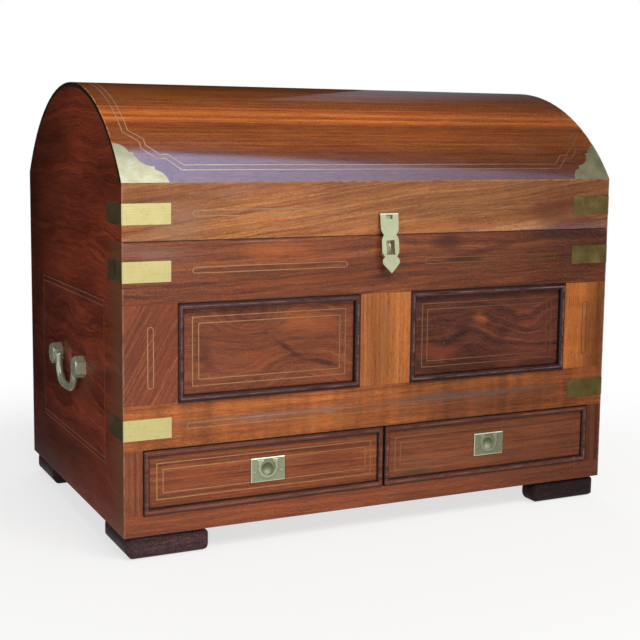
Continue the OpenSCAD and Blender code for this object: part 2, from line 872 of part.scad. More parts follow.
// A countersunk screw with its head at z = 0, pointing down
module screw(r, head_r, head_h, l, grow) {
    translate([0, 0, -l]) cylinder(r = r + grow, h = l);
    translate([0, 0, -head_h]) cylinder(r1 = r + grow, r2 = head_r + grow, h = head_h);
}

module chest_screw_set(grow) {
    at_hinge_screws() translate([0, 0, rim_z])
        screw(hinge_screw_r, hinge_screw_r * head_ratio, leaf_t * head_share, hinge_screw_l, grow);
}

module lid_screw_set(grow) {
    at_hinge_screws() translate([0, 0, lid_z0]) mirror([0, 0, 1])
        screw(hinge_screw_r, hinge_screw_r * head_ratio, leaf_t * head_share, hinge_screw_l, grow);
}

module chest_hinge_leaves() {
    color(brass_grey) difference() {
        at_hinges() hinge_leaf(rim_z - leaf_t, rim_z, [0, 2, 4]);
        chest_screw_set(screw_fit);
    }
}

module lid_hinge_leaves() {
    color(brass_grey) difference() {
        at_hinges() hinge_leaf(lid_z0, lid_z0 + leaf_t, [1, 3]);
        lid_screw_set(screw_fit);
    }
}

module hinge_pins() {
    color(brass_grey) at_hinges()
        translate([-hinge_l / 2, hinge_y, hinge_z]) rotate([0, 90, 0]) cylinder(r = hinge_pin_r, h = hinge_l);
}

module chest_screws() {
    color(brass_grey) chest_screw_set(0);
}

module lid_screws() {
    color(brass_grey) {
        lid_screw_set(0);
        hasp_screw_set(0);
    }
}

// Hasp and staple

// The staple's bent wire: a half ring out of the face, with two legs in the wood
module staple_wire(grow) {
    loop_r = staple_reach - staple_r;
    translate([0, front_y, staple_z]) rotate([90, 0, -90])
        rotate_extrude(angle = 180, start = -90) translate([loop_r, 0]) circle(staple_r + grow);
    staple_legs(grow, 0);
}

module staple_legs(grow, out) {
    loop_r = staple_reach - staple_r;
    for (s = [-1, 1])
        translate([0, front_y - out, staple_z + s * loop_r]) rotate([-90, 0, 0])
            cylinder(r = staple_r + grow, h = staple_leg_l + out);
}

module staple_holes() {
    staple_legs(screw_fit, cut);
}

module hasp_staple() {
    color(brass_grey) union() {
        on_front(front_y, hasp_leaf_t, 0)
            round_rect(-staple_plate_w / 2, staple_plate_w / 2, staple_z - staple_plate_h / 2,
                       staple_z + staple_plate_h / 2, staple_plate_round);
        staple_wire(0);
    }
}

module at_hasp_pin() {
    translate([0, hasp_y, hasp_z]) rotate([0, 90, 0]) children();
}

module hasp_bore() {
    at_hasp_pin() cylinder(r = hasp_pin_r + hasp_pin_fit, h = hasp_w + 2 * cut, center = true);
}

module hasp_screw_set(grow) {
    low = hasp_z - hasp_leaf_l + hasp_screw_up;
    for (z = [low, low + hasp_screw_step])
        translate([0, front_y - hasp_leaf_t, z]) rotate([90, 0, 0])
            screw(hasp_screw_r, hasp_screw_r * head_ratio, hasp_leaf_t * head_share, hasp_screw_l, grow);
}

// The fixed leaf, on the lid's rail behind the hasp
module hasp_leaf() {
    top = hasp_barrel_r + 2 * hasp_side_gap;
    color(brass_grey) difference() {
        union() {
            on_front(front_y, hasp_leaf_t, 0) {
                rect(-hasp_leaf_w / 2, hasp_leaf_w / 2, hasp_z - hasp_leaf_l, hasp_z - top);
                rect(-hasp_knuckle_w / 2, hasp_knuckle_w / 2, hasp_z - top - cut, hasp_z);
            }
            at_hasp_pin() cylinder(r = hasp_barrel_r, h = hasp_knuckle_w, center = true);
        }
        hasp_bore();
        hasp_screw_set(screw_fit);
    }
}

module hasp_pin() {
    color(brass_grey) at_hasp_pin() cylinder(r = hasp_pin_r, h = hasp_w, center = true);
}

// The point where a line from t touches a circle of radius r round c, on the circle's right
function touch_point(t, c, r) =
    let (d = c - t, l = norm(d), a = atan2(d[1], d[0]) - asin(r / l))
    t + sqrt(l * l - r * r) * [cos(a), sin(a)];

// The hasp's outline, hanging from its pin at the origin
module hasp_outline() {
    neck = hasp_neck / 2;
    top_r = hasp_w / 2;
    r = hasp_bulge / 2;
    neck_1 = hasp_pin_up;
    neck_2 = slot_low + hasp_heart_down;
    top_c = neck_1 - sqrt(top_r * top_r - neck * neck);
    c1 = neck_1 + sqrt(r * r - neck * neck);
    c2 = neck_2 - sqrt(r * r - neck * neck);
    lobe = r / 2;
    rect(-top_r, top_r, -top_c, 0);
    translate([0, -top_c]) circle(top_r);
    translate([0, -c1]) circle(r);
    translate([0, -c2]) circle(r);
    rect(-r, r, -c2, -c1);
    lobe_mid = [lobe, -neck_2 - lobe];
    for (s = [-1, 1])
        translate([s * lobe_mid[0], lobe_mid[1]]) circle(lobe);
    side = lobe_mid + heart_share * (touch_point([0, -hasp_l], lobe_mid, lobe) - lobe_mid);
    polygon([[-side[0], side[1]], [-lobe, -neck_2], [lobe, -neck_2], side, [0, -hasp_l]]);
}

// The hasp as it hangs flat against the face
module hasp_shut() {
    notch = hasp_knuckle_w / 2 + hasp_side_gap;
    difference() {
        union() {
            translate([0, 0, hasp_z]) on_front(front_y - hasp_back_gap, hasp_t, 0) difference() {
                hasp_outline();
                rect(-slot_w / 2, slot_w / 2, -slot_low, slot_h - slot_low);
            }
            at_hasp_pin() cylinder(r = hasp_barrel_r, h = hasp_w, center = true);
        }
        block([-notch, hasp_y - hasp_barrel_r - cut, hasp_z - hasp_notch],
              [notch, front_y, hasp_z + hasp_barrel_r + cut]);
        hasp_bore();
    }
}

module hasp_strap() {
    color(brass_grey) translate([0, hasp_y, hasp_z]) rotate([-hasp_rest, 0, 0])
        translate([0, -hasp_y, -hasp_z]) hasp_shut();
}

// Drop handles on the sides

module handle_boss(s) {
    translate([-half_w, mid_y + s * boss_y, handle_z]) rotate([0, -90, 0]) {
        intersection() {
            cylinder(r = boss_r, h = boss_proud, $fn = 6);
            cylinder(r1 = boss_r + boss_proud - boss_chamfer, r2 = boss_r - boss_chamfer, h = boss_proud);
        }
        translate([0, 0, -board_t - nut_t - stem_end])
            cylinder(r = stem_r, h = board_t + nut_t + stem_end + cut);
    }
}

module left_handle_bosses() {
    color(brass_grey) difference() {
        for (s = [-1, 1]) handle_boss(s);
        for (s = [-1, 1])
            translate([-half_w - bail_off, mid_y + s * (boss_flat - cut), handle_z])
                rotate([-90 * s, 0, 0])
                    cylinder(r = bail_axle_r + bail_axle_fit, h = bail_axle_l + 2 * cut);
    }
}

module handle_nut(s) {
    translate([-in_x, mid_y + s * boss_y, handle_z]) rotate([0, 90, 0]) difference() {
        cylinder(r = nut_af / sqrt(3), h = nut_t, $fn = 6);
        translate([0, 0, -cut]) cylinder(r = stem_r + screw_fit, h = nut_t + 2 * cut);
    }
}

module handle_nuts() {
    color(brass_grey) both_sides() for (s = [-1, 1]) handle_nut(s);
}

// Half of a bail: a stub axle, a leg, a bend and half of the grip
module bail_half() {
    leg = bail_drop - bail_bend;
    translate([0, bail_leg_y, 0]) rotate([-90, 0, 0])
        cylinder(r = bail_axle_r, h = boss_flat + bail_axle_l - bail_leg_y);
    translate([0, bail_leg_y, 0]) sphere(bail_r);
    translate([0, bail_leg_y, -leg]) cylinder(r = bail_r, h = leg);
    translate([0, bail_leg_y - bail_bend, -leg]) rotate([90, 0, 90])
        rotate_extrude(angle = 90, start = -90) translate([bail_bend, 0]) circle(bail_r);
    translate([0, 0, -bail_drop]) rotate([-90, 0, 0]) cylinder(r = bail_r, h = bail_leg_y - bail_bend);
}

module left_bail() {
    color(brass_grey) translate([-half_w - bail_off, mid_y, handle_z]) {
        bail_half();
        mirror([0, 1, 0]) bail_half();
    }
}

// Lid

module lid_front_rail() {
    color(wood_light) difference() {
        front_board(-half_w, half_w, lid_z0, crease_z);
        lid_rail_lines(cut);
        lid_band_set(cut);
        hasp_screw_set(screw_fit);
    }
}

module lid_back_rail() {
    color(wood_dark) difference() {
        back_board(lid_z0, crease_z);
        hinge_pockets(lid_z0 - cut, lid_z0 + leaf_t);
        lid_screw_set(screw_fit);
    }
}

// The dome between two radii, seen from its end, above its spring or from low below it
module dome_section(r0, r1, low = 0) {
    intersection() {
        difference() {
            translate([mid_y, dome_z]) circle(r1);
            if (r0 > 0) translate([mid_y, dome_z]) circle(r0);
        }
        translate([mid_y - dome_r - 2 * cut, crease_z - low])
            square([2 * dome_r + 4 * cut, dome_rise + 4 * cut]);
    }
}

module dome_shell(r0, r1, x0, x1, low = 0) {
    translate([x0, 0, 0]) rotate([90, 0, 90]) linear_extrude(x1 - x0) dome_section(r0, r1, low);
}

// What a lid end's mitre takes away at the wall y, where s is 1 at the front and -1 at the back
module lid_end_mitre(y, s) {
    translate([0, 0, lid_z0 - cut]) linear_extrude(crease_z - lid_z0 + cut)
        polygon([[-half_w - cut, y - s * cut], [-in_x + cut, y - s * cut],
                 [-in_x + cut, y + s * (board_t + cut)]]);
}

// One board up to the top of the dome, mitred to the rails below the dome's spring
module lid_left_end() {
    color(wood_dark) difference() {
        translate([-half_w, 0, 0]) rotate([90, 0, 90]) linear_extrude(board_t) {
            rect(front_y, back_y, lid_z0, crease_z);
            dome_section(0, dome_r - dome_skin_t, dome_skin_t);
        }
        lid_end_mitre(front_y, 1);
        lid_end_mitre(back_y, -1);
        lid_band_set(cut);
    }
}

module dome_skin() {
    color(wood_mid) difference() {
        dome_shell(dome_r - dome_skin_t, dome_r, -half_w, half_w);
        corner_mount_set(cut);
        dome_lines(cut);
    }
}

module lid_band_set(more) {
    both_sides() band(lid_band_z, more);
}

module lid_rail_lines(out) {
    on_front(front_y, out, string_d) rail_loops(lid_band_z);
}

// Stands a drawing on the dome: its origin goes to the left end of the front spring line, its x runs
// along the chest and its y runs up the arc, and it is pressed through the skin at the height s
module on_dome(s) {
    a = dome_half - arc_deg(s);
    translate([-half_w, mid_y, dome_z]) rotate([a, 0, 0])
        translate([0, 0, dome_r - dome_skin_t]) linear_extrude(dome_skin_t + 5 * cut)
            translate([0, -s]) children();
}

// Brass mount over a front corner of the dome
module corner_outline() {
    over = 2 * cut;
    difference() {
        translate([-over, -over]) square([mount_square + over, mount_square + over]);
        translate([mount_square, mount_square]) circle(mount_cove);
    }
    for (flip = [0, 1]) mirror([flip, -flip]) {
        intersection() {
            translate([mount_l - mount_lobe, 0]) circle(mount_lobe);
            translate([0, 0]) square([mount_l + over, mount_square]);
        }
        translate([0, -over]) square([mount_l, over]);
    }
}

module corner_mount_set(more) {
    both_sides() intersection() {
        dome_shell(dome_r + band_proud - band_t, dome_r + band_proud + more, -half_w - more, 0, more);
        on_dome(mount_l / 2) corner_outline();
    }
}

module dome_corner_mounts() {
    color(brass) corner_mount_set(0);
}

// The way across a line from a to b, one long
function across(a, b) = [a[1] - b[1], b[0] - a[0]] / norm(b - a);

// The closed line through the points p, moved w to its left, with mitred corners
function moved_line(p, w) =
    let (n = len(p))
    [for (i = [0 : n - 1])
        let (m = across(p[(i + n - 1) % n], p[i]) + across(p[i], p[(i + 1) % n]))
        p[i] + 2 * w / (m * m) * m];

// The stepped corner of one of the dome's two lines, from its inset and the reach of its corner
function corner_steps(inset, reach) =
    let (step = (reach - inset) * dome_step_share,
         flat = (reach - inset) * dome_flat_share,
         far = reach - step,
         near = inset + step)
    [[reach, inset], [far, near], [far - flat, near], [near, far - flat], [near, far], [inset, reach]];

function turned(p) = [for (i = [len(p) - 1 : -1 : 0]) p[i]];

// One closed line round the dome: x runs along the chest and y up the arc from its front spring
function dome_ring(inset, reach) =
    let (steps = corner_steps(inset, reach),
         right = [for (q = steps) [chest_w - q[0], q[1]]])
    concat(right, turned([for (q = right) [q[0], dome_arc - q[1]]]),
           [for (q = steps) [q[0], dome_arc - q[1]]], turned(steps));

// The same points seen from above
function from_above(p) =
    [for (q = p) [q[0] - half_w, mid_y - dome_r * sin(dome_half - arc_deg(q[1]))]];

module dome_line(inset, reach, out) {
    ring = dome_ring(inset, reach);
    intersection() {
        dome_shell(dome_r - string_d, dome_r + out, -half_w, half_w);
        translate([0, 0, crease_z]) linear_extrude(dome_rise + 2 * cut) difference() {
            polygon(from_above(moved_line(ring, -string_w / 2)));
            polygon(from_above(moved_line(ring, string_w / 2)));
        }
    }
}

module dome_lines(out) {
    dome_line(dome_line_inset, dome_line_corner, out);
    dome_line(dome_line_inset + dome_line_pair, dome_line_corner + dome_line_pair / 2, out);
}

module lid_stringing() {
    color(inlay_tan) {
        lid_rail_lines(0);
        dome_lines(0);
    }
}

module lid_bands() {
    color(brass) lid_band_set(0);
}

// Drawers: the left one is drawn and the right one is its mirror image

module drawer_line_set(out) {
    i = drawer_line_inset;
    on_front(drawer_y, out, string_d)
        line_pair_rect(-drawer_x - drawer_w / 2 + i, -drawer_x + drawer_w / 2 - i,
                       drawer_z0 + i, drawer_z1 - i);
}

// The pocket for a pull's plate, which the drawer's inner line runs up to
module plate_pocket() {
    block([-plate_w / 2 - wood_fit, -cut, -plate_h / 2 - wood_fit],
          [plate_w / 2 + wood_fit, plate_t - plate_proud, plate_h / 2 + wood_fit]);
}

module drawer_stringing() {
    color(inlay_tan) difference() {
        drawer_line_set(0);
        at_pull() plate_pocket();
    }
}

// Moves a drawing of a pull from its own middle to its place on the left drawer front
module at_pull() {
    translate([-drawer_x, drawer_y, drawer_z]) children();
}

module drawer_front() {
    color(wood_mid) difference() {
        block([-drawer_x - drawer_w / 2, drawer_y, drawer_z0],
              [-drawer_x + drawer_w / 2, box_y0, drawer_z1]);
        drawer_line_set(cut);
        at_pull() {
            plate_pocket();
            translate([0, 0, cup_z]) rotate([-90, 0, 0])
                cylinder(r = cup_r + cup_wall + cup_gap, h = groove_y + cup_d + cup_wall + wood_fit);
            plate_screw_set(screw_fit);
        }
    }
}

module drawer_box() {
    z0 = drawer_z0;
    x0 = -box_x1 + drawer_side_t + glue_gap;
    x1 = -box_x0 - drawer_side_t - glue_gap;
    color(wood_inside) {
        block([-box_x1, box_y0, z0], [-box_x1 + drawer_side_t, box_y1, box_z1]);
        block([-box_x0 - drawer_side_t, box_y0, z0], [-box_x0, box_y1, box_z1]);
        block([x0, box_y1 - drawer_side_t, z0], [x1, box_y1, box_z1]);
        block([x0, box_y0, z0], [x1, box_y1 - drawer_side_t - glue_gap, z0 + drawer_bottom_t]);
    }
}

module drawer_moulding() {
    color(wood_dark)
        bead_frame(-drawer_x - drawer_w / 2, -drawer_x + drawer_w / 2, drawer_z0, drawer_z1,
                   front_y, drawer_recess);
}

// Ring pulls

// The ring's outline: a round bottom and two arms up to the axle, where it ends
module ring_outline(grow) {
    difference() {
        union() {
            translate([0, ring_bend_z]) circle(ring_r + grow);
            rect(-ring_r - grow, ring_r + grow, ring_bend_z, ring_axle_z);
        }
        translate([0, ring_bend_z]) circle(ring_hole_r - grow);
        rect(-ring_mouth / 2 + grow, ring_mouth / 2 - grow, ring_bend_z, ring_axle_z + cut);
        rect(-ring_w, ring_w, ring_axle_z, ring_axle_z + ring_w);
    }
}

module plate_screw_set(grow) {
    for (s = [-1, 1])
        translate([s * plate_screw_span / 2, -plate_proud, -plate_screw_down]) rotate([90, 0, 0])
            screw(plate_screw_r, plate_head_r, plate_head_h, plate_screw_l, grow);
}

// What the bevels along the two edges at reach from the plate's middle take away, over the length l
module plate_bevels(reach, l) {
    for (turn = [0, 180]) rotate([0, turn, 0]) linear_extrude(l + 2 * cut, center = true)
        polygon([[reach - 2 * plate_bevel_w, -plate_proud - plate_bevel_h],
                 [reach + plate_bevel_w, -plate_proud - plate_bevel_h],
                 [reach + plate_bevel_w, -plate_proud + 2 * plate_bevel_h]]);
}

module pull_plate() {
    color(brass_grey) at_pull() difference() {
        union() {
            on_front(0, plate_proud, plate_t - plate_proud)
                rect(-plate_w / 2, plate_w / 2, -plate_h / 2, plate_h / 2);
            translate([0, groove_y, cup_z]) intersection() {
                translate([0, cup_d - cup_sphere, 0]) sphere(cup_sphere + cup_wall);
                rotate([-90, 0, 0]) cylinder(r = cup_r + cup_wall, h = cup_d + cup_wall + cut);
            }
        }
        on_front(-plate_proud - cut, 0, cut + plate_proud + groove_y) {
            ring_outline(ring_gap);
            translate([0, ring_bend_z]) circle(ring_hole_r);
            rect(-ring_r - ring_gap, ring_r + ring_gap, ring_bend_z, ring_axle_z + ring_t / 2 + ring_gap);
        }
        translate([0, groove_y + cup_d - cup_sphere, cup_z]) sphere(cup_sphere);
        plate_bevels(plate_w / 2, plate_h);
        rotate([0, 90, 0]) plate_bevels(plate_h / 2, plate_w);
        translate([0, ring_y, ring_axle_z]) rotate([0, 90, 0])
            cylinder(r = ring_axle_r + ring_axle_fit, h = ring_w + 2 * ring_axle_l + ring_gap, center = true);
        plate_screw_set(screw_fit);
    }
}

module pull_screws() {
    color(brass_grey) at_pull() plate_screw_set(0);
}

module pull_ring() {
    color(brass_grey) at_pull() {
        on_front(ring_y0, 0, ring_t) ring_outline(0);
        for (s = [-1, 1]) {
            arm = (ring_w - ring_mouth) / 2;
            translate([s * (ring_r - arm / 2), ring_y, ring_axle_z]) rotate([0, 90, 0])
                cylinder(r = ring_t / 2, h = arm, center = true);
            translate([s * (ring_r + ring_axle_l / 2 - cut / 2), ring_y, ring_axle_z]) rotate([0, 90, 0])
                cylinder(r = ring_axle_r, h = ring_axle_l + cut, center = true);
        }
    }
}

module right_side() {
    mirror([1, 0, 0]) children();
}

front_top_rail();
front_mid_rail();
front_bottom_rail();
front_left_stile();
front_right_stile();
front_muntin();
drawer_bay_stiles();
right_side() front_panel();  // left_panel
front_panel();  // right_panel
right_side() panel_moulding();  // left_panel_moulding
panel_moulding();  // right_panel_moulding
left_side_frame();
left_side_panel();
right_side() left_side_frame();  // right_side_frame
right_side() left_side_panel();  // right_side_panel
back_boards();
well_floor();
base_board();
drawer_divider();
drawer_guides();
front_feet();
back_feet();
chest_stringing();
chest_bands();
chest_hinge_leaves();
hinge_pins();
chest_screws();
hasp_staple();
left_handle_bosses();
right_side() left_handle_bosses();  // right_handle_bosses
handle_nuts();
left_bail();
right_side() left_bail();  // right_bail
lid_front_rail();
lid_back_rail();
lid_left_end();
right_side() lid_left_end();  // lid_right_end
dome_skin();
lid_stringing();
lid_bands();
dome_corner_mounts();
lid_hinge_leaves();
lid_screws();
hasp_leaf();
hasp_pin();
hasp_strap();
drawer_front();  // left_drawer_front
drawer_box();  // left_drawer_box
drawer_moulding();  // left_drawer_moulding
drawer_stringing();  // left_drawer_stringing
pull_plate();  // left_pull_plate
pull_screws();  // left_pull_screws
pull_ring();  // left_pull_ring
right_side() drawer_front();  // right_drawer_front
right_side() drawer_box();  // right_drawer_box
right_side() drawer_moulding();  // right_drawer_moulding
right_side() drawer_stringing();  // right_drawer_stringing
right_side() pull_plate();  // right_pull_plate
right_side() pull_screws();  // right_pull_screws
right_side() pull_ring();  // right_pull_ring
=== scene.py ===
"""A dowry chest of lacquered rosewood with brass bands, in a plain white studio.

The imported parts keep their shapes, and this script gives them their woods, inlay and brass.
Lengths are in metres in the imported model's frame: +X to the right, +Y to the back and +Z up. The chest's
front faces -Y.
"""

import math

import bpy
from mathutils import Matrix, Vector


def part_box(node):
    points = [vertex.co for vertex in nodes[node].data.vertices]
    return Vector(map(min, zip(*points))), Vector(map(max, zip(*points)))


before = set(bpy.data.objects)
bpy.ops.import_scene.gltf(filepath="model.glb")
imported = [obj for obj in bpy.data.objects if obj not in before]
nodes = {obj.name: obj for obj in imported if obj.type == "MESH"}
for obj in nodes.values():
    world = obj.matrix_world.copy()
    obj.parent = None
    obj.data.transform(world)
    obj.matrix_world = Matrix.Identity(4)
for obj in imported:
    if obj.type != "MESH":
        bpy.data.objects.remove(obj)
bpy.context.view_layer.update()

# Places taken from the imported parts
side_low, side_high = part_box("left_side_frame")
dome_low, dome_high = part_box("dome_skin")
front_y, back_y = side_low.y, side_high.y
mid_y = (front_y + back_y) / 2
half_d = (back_y - front_y) / 2
half_w = -side_low.x
rim_z = side_high.z
crease_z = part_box("lid_front_rail")[1].z
dome_rise = dome_high.z - dome_low.z
dome_r = (half_d**2 + dome_rise**2) / (2 * dome_rise)
dome_axis_z = dome_high.z - dome_r
dome_half = math.asin(half_d / dome_r)

X, Y, Z = Vector((1, 0, 0)), Vector((0, 1, 0)), Vector((0, 0, 1))

# Colours are written as red, green and blue from 0 to 255
# A dark colour: painted shade in the gap under the lid, and painted shade with dirt along mouldings and
# plates
SHADE_AND_DIRT = (24, 12, 9)
DUST = (196, 150, 116)
RUBBED = (176, 132, 108)
END_GRAIN = (40, 18, 12)
# The pale rim of the dome's ends, painted highlight and wear
DOME_RIM_HIGHLIGHT_AND_WEAR = (206, 164, 112)
# The bevelled rim of a flush plate, worn bright brass with a painted highlight
PLATE_RIM_HIGHLIGHT_AND_WEAR = (232, 230, 200)
# Painted shade in the cup of a flush plate
PLATE_CUP_SHADE = (132, 136, 108)
SCREW_RING_DARK = (58, 60, 44)

# How far marks spread from the line that they follow, and how much they cover
# Width and share of the painted shade in the gap between the lid and the body
GAP_SHADE_WIDTH, GAP_SHADE_SHARE = 0.0016, 0.85
WEAR_WIDTH, WEAR_SHARE = 0.003, 0.75
# Width and share of the dark outlines of painted shade and dirt along mouldings and plates
SHADED_OUTLINE_WIDTH, SHADED_OUTLINE_SHARE = 0.0019, 0.88
SCREW_RING_WIDTH, SCREW_RING_SHARE = 0.0008, 0.8
# Widths of the painted highlight on the beads' crests and of the dome's rim of painted highlight and wear
CREST_HIGHLIGHT_WIDTH, DOME_RIM_WIDTH = 0.0014, 0.0024
STRIP_SHARE, PORE_SHARE, NICK_SHARE = 0.7, 0.45, 0.4

# How fine the noise of each mark is, in waves to a metre: on wood along it, across it and into it, and on
# brass along X, Y and Z
CLOUDS = (5, 14, 14)
RIPPLES = (62, 9, 9)
STREAKS = (9, 300, 300)
FIBRES = (30, 640, 640)
GRAINS = (350, 350, 350)
PORES = (85, 1500, 1500)
NICKS = (160, 420, 420)
SMEARS = (9, 26, 26)
# Noise that breaks up the painted highlight on the beads' crests
CREST_HIGHLIGHT_BREAKS = (34, 60, 60)
BREAKS = (90, 90, 90)
TARNISH = (45, 45, 45)
SPOTS = (240, 240, 240)
SCRATCHES = (26, 26, 1300)
BRUSH_LINES = (60, 900, 900)

# The figure of wood: how many waves lie in one reach, how far they bend and tilt the lines, how strong the
# lines and fibres are, and where its darkest and lightest tones lie in the range from 0 to 1
WIDE_WAVES, SMALL_WAVES = (1, 2.2, 2.2), (4, 9, 9)
WIDE_BEND, SMALL_BEND, TILT = 2, 0.4, 0.6
LINE_STRENGTH, FIBRE_STRENGTH = 1.05, 0.75
DARKEST_AT, LIGHTEST_AT = 0.12, 0.88

# Where the painted darker reflection on the brass starts and where it is full along the chest, and how much
# of it the right side takes
PAINTED_REFLECTION_FROM_X, PAINTED_REFLECTION_TO_X, SIDE_PAINTED_REFLECTION_SHARE = -0.3, 0.33, 0.6

# The bevel of a flush plate, measured out from its edge, and the depths between which painted shade
# darkens its cup
BEVEL_FROM, BEVEL_TO = -0.0017, -0.0012
CUP_SHADE_FROM, CUP_SHADE_TO = 0.0012, 0.003

# Depths of the fine relief, the depths in the dome's skin between which its coat ends, and its gloss
WOOD_RELIEF, BRASS_RELIEF = 0.00012, 0.00005
SKIN_DEEP, SKIN_SHALLOW = 0.004, 0.003
COAT_ROUGHNESS, COAT_IOR, BARE_ROUGHNESS = 0.07, 1.6, 0.6


def srgb(r, g, b):
    """A colour written as 0 to 255, as the light that it stands for."""
    out = []
    for c in (r / 255, g / 255, b / 255):
        out.append(c / 12.92 if c <= 0.04045 else ((c + 0.055) / 1.055) ** 2.4)
    return (*out, 1.0)


class Tree:
    """A node tree. Most of its calls add nodes and return the last one's output."""

    def __init__(self, tree):
        self.tree = tree
        tree.nodes.clear()

    def add(self, kind, **settings):
        """Adds a node and returns it."""
        node = self.tree.nodes.new(kind)
        for key, value in settings.items():
            setattr(node, key, value)
        return node

    def feed(self, socket, value):
        """Links another node's output to a socket, or sets the socket to a value."""
        if isinstance(value, bpy.types.NodeSocket):
            self.tree.links.new(value, socket)
        else:
            socket.default_value = value

    def made(self, kind, *values, **settings):
        """Adds a node, feeds its first inputs and returns its first output."""
        node = self.add(kind, **settings)
        for socket, value in zip(node.inputs, values):
            self.feed(socket, value)
        return node.outputs[0]

    def math(self, operation, a, b=0.0):
        return self.made("ShaderNodeMath", a, b, operation=operation)

    def total(self, *terms):
        out = terms[0]
        for term in terms[1:]:
            out = self.math("ADD", out, term)
        return out

    def less(self, a, b):
        return self.math("SUBTRACT", a, b)

    def times(self, a, b):
        return self.math("MULTIPLY", a, b)

    def most(self, a, b):
        return self.math("MAXIMUM", a, b)

    def size(self, a):
        return self.math("ABSOLUTE", a)

    def length(self, a, b):
        return self.math("SQRT", self.total(self.times(a, a), self.times(b, b)))

    def blend(self, share, shader_a, shader_b):
        return self.made("ShaderNodeMixShader", share, shader_a, shader_b)

    def seen(self):
        """1 where it is seen straight on, in gloss or through glass, and 0 where it lights other things."""
        rays = self.add("ShaderNodeLightPath").outputs
        camera_or_gloss = self.most(rays["Is Camera Ray"], rays["Is Glossy Ray"])
        return self.most(camera_or_gloss, rays["Is Transmission Ray"])


class Shader(Tree):
    """A material's node tree. Its colour is set first and then painted over in layers."""

    def __init__(self, name):
        self.material = bpy.data.materials.new(name)
        self.material.use_nodes = True
        super().__init__(self.material.node_tree)
        self.surface = self.add("ShaderNodeBsdfPrincipled")
        self.end = self.add("ShaderNodeOutputMaterial").inputs["Surface"]
        self.feed(self.end, self.surface.outputs[0])
        self.place = self.add("ShaderNodeTexCoord").outputs["Object"]
        self.x, self.y, self.z = self.split(self.place)

    def set(self, **values):
        """Sets values of the surface, named with an underscore for each space."""
        for key, value in values.items():
            self.feed(self.surface.inputs[key.replace("_", " ")], value)

    def mix(self, share, a, b, blend="MIX"):
        node = self.add("ShaderNodeMix", data_type="RGBA", blend_type=blend)
        for number, value in ((0, share), (6, a), (7, b)):
            self.feed(node.inputs[number], value)
        return node.outputs[2]

    def paint(self, share, tint, light=1.0):
        """Lays a tint over the colour so far, with the tint's light scaled."""
        r, g, b, alpha = srgb(*tint)
        self.colour = self.mix(share, self.colour, (r * light, g * light, b * light, alpha))

    def span(self, value, low, high, to_low=0.0, to_high=1.0, smooth=False):
        """Maps low..high to to_low..to_high, and stays at the ends beyond them."""
        kind = "SMOOTHSTEP" if smooth else "LINEAR"
        return self.made("ShaderNodeMapRange", value, low, high, to_low, to_high, interpolation_type=kind)

    def near(self, value, at, width):
        """1 where value is at, falling to 0 at width away."""
        return self.span(self.size(self.less(value, at)), 0.0, width, 1.0, 0.0, smooth=True)

    def beyond(self, dx, dz, half_x, half_z):
        """How far a place at dx and dz from a rectangle's middle lies outside it, below 0 inside it."""
        return self.most(self.less(self.size(dx), half_x), self.less(self.size(dz), half_z))

    def split(self, vector):
        node = self.add("ShaderNodeSeparateXYZ")
        self.feed(node.inputs[0], vector)
        return node.outputs

    def join(self, x, y, z):
        return self.made("ShaderNodeCombineXYZ", x, y, z)

    def stretch(self, vector, scales):
        return self.made("ShaderNodeVectorMath", vector, scales, operation="MULTIPLY")

    def space(self, shift, turn=(0.0, 0.0, 0.0)):
        """Axes of the piece's own, so that no two pieces show the same figure."""
        node = self.add("ShaderNodeMapping")
        for name, value in (("Vector", self.place), ("Location", shift), ("Rotation", turn)):
            self.feed(node.inputs[name], value)
        return node.outputs[0]

    def noise(self, place, detail=2.0, roughness=0.5, flat=False):
        """Noise from about 0 to 1 over a vector, or over one number if it is flat."""
        node = self.add("ShaderNodeTexNoise", noise_dimensions="1D" if flat else "3D")
        self.feed(node.inputs["W" if flat else "Vector"], place)
        for name, value in (("Scale", 1.0), ("Detail", detail), ("Roughness", roughness)):
            self.feed(node.inputs[name], value)
        return node.outputs["Fac"]

    def centred(self, noise, amount):
        """Noise as a change about 0."""
        return self.times(self.less(noise, 0.5), amount)

    def ramp(self, value, stops):
        node = self.add("ShaderNodeValToRGB")
        self.feed(node.inputs[0], value)
        ramp = node.color_ramp
        while len(ramp.elements) < len(stops):
            ramp.elements.new(0.5)
        for element, (at, colour) in zip(ramp.elements, stops):
            element.position = at
            element.color = colour
        return node.outputs[0]

    def bump(self, height, distance):
        node = self.add("ShaderNodeBump")
        self.feed(node.inputs["Distance"], distance)
        self.feed(node.inputs["Height"], height)
        return node.outputs[0]


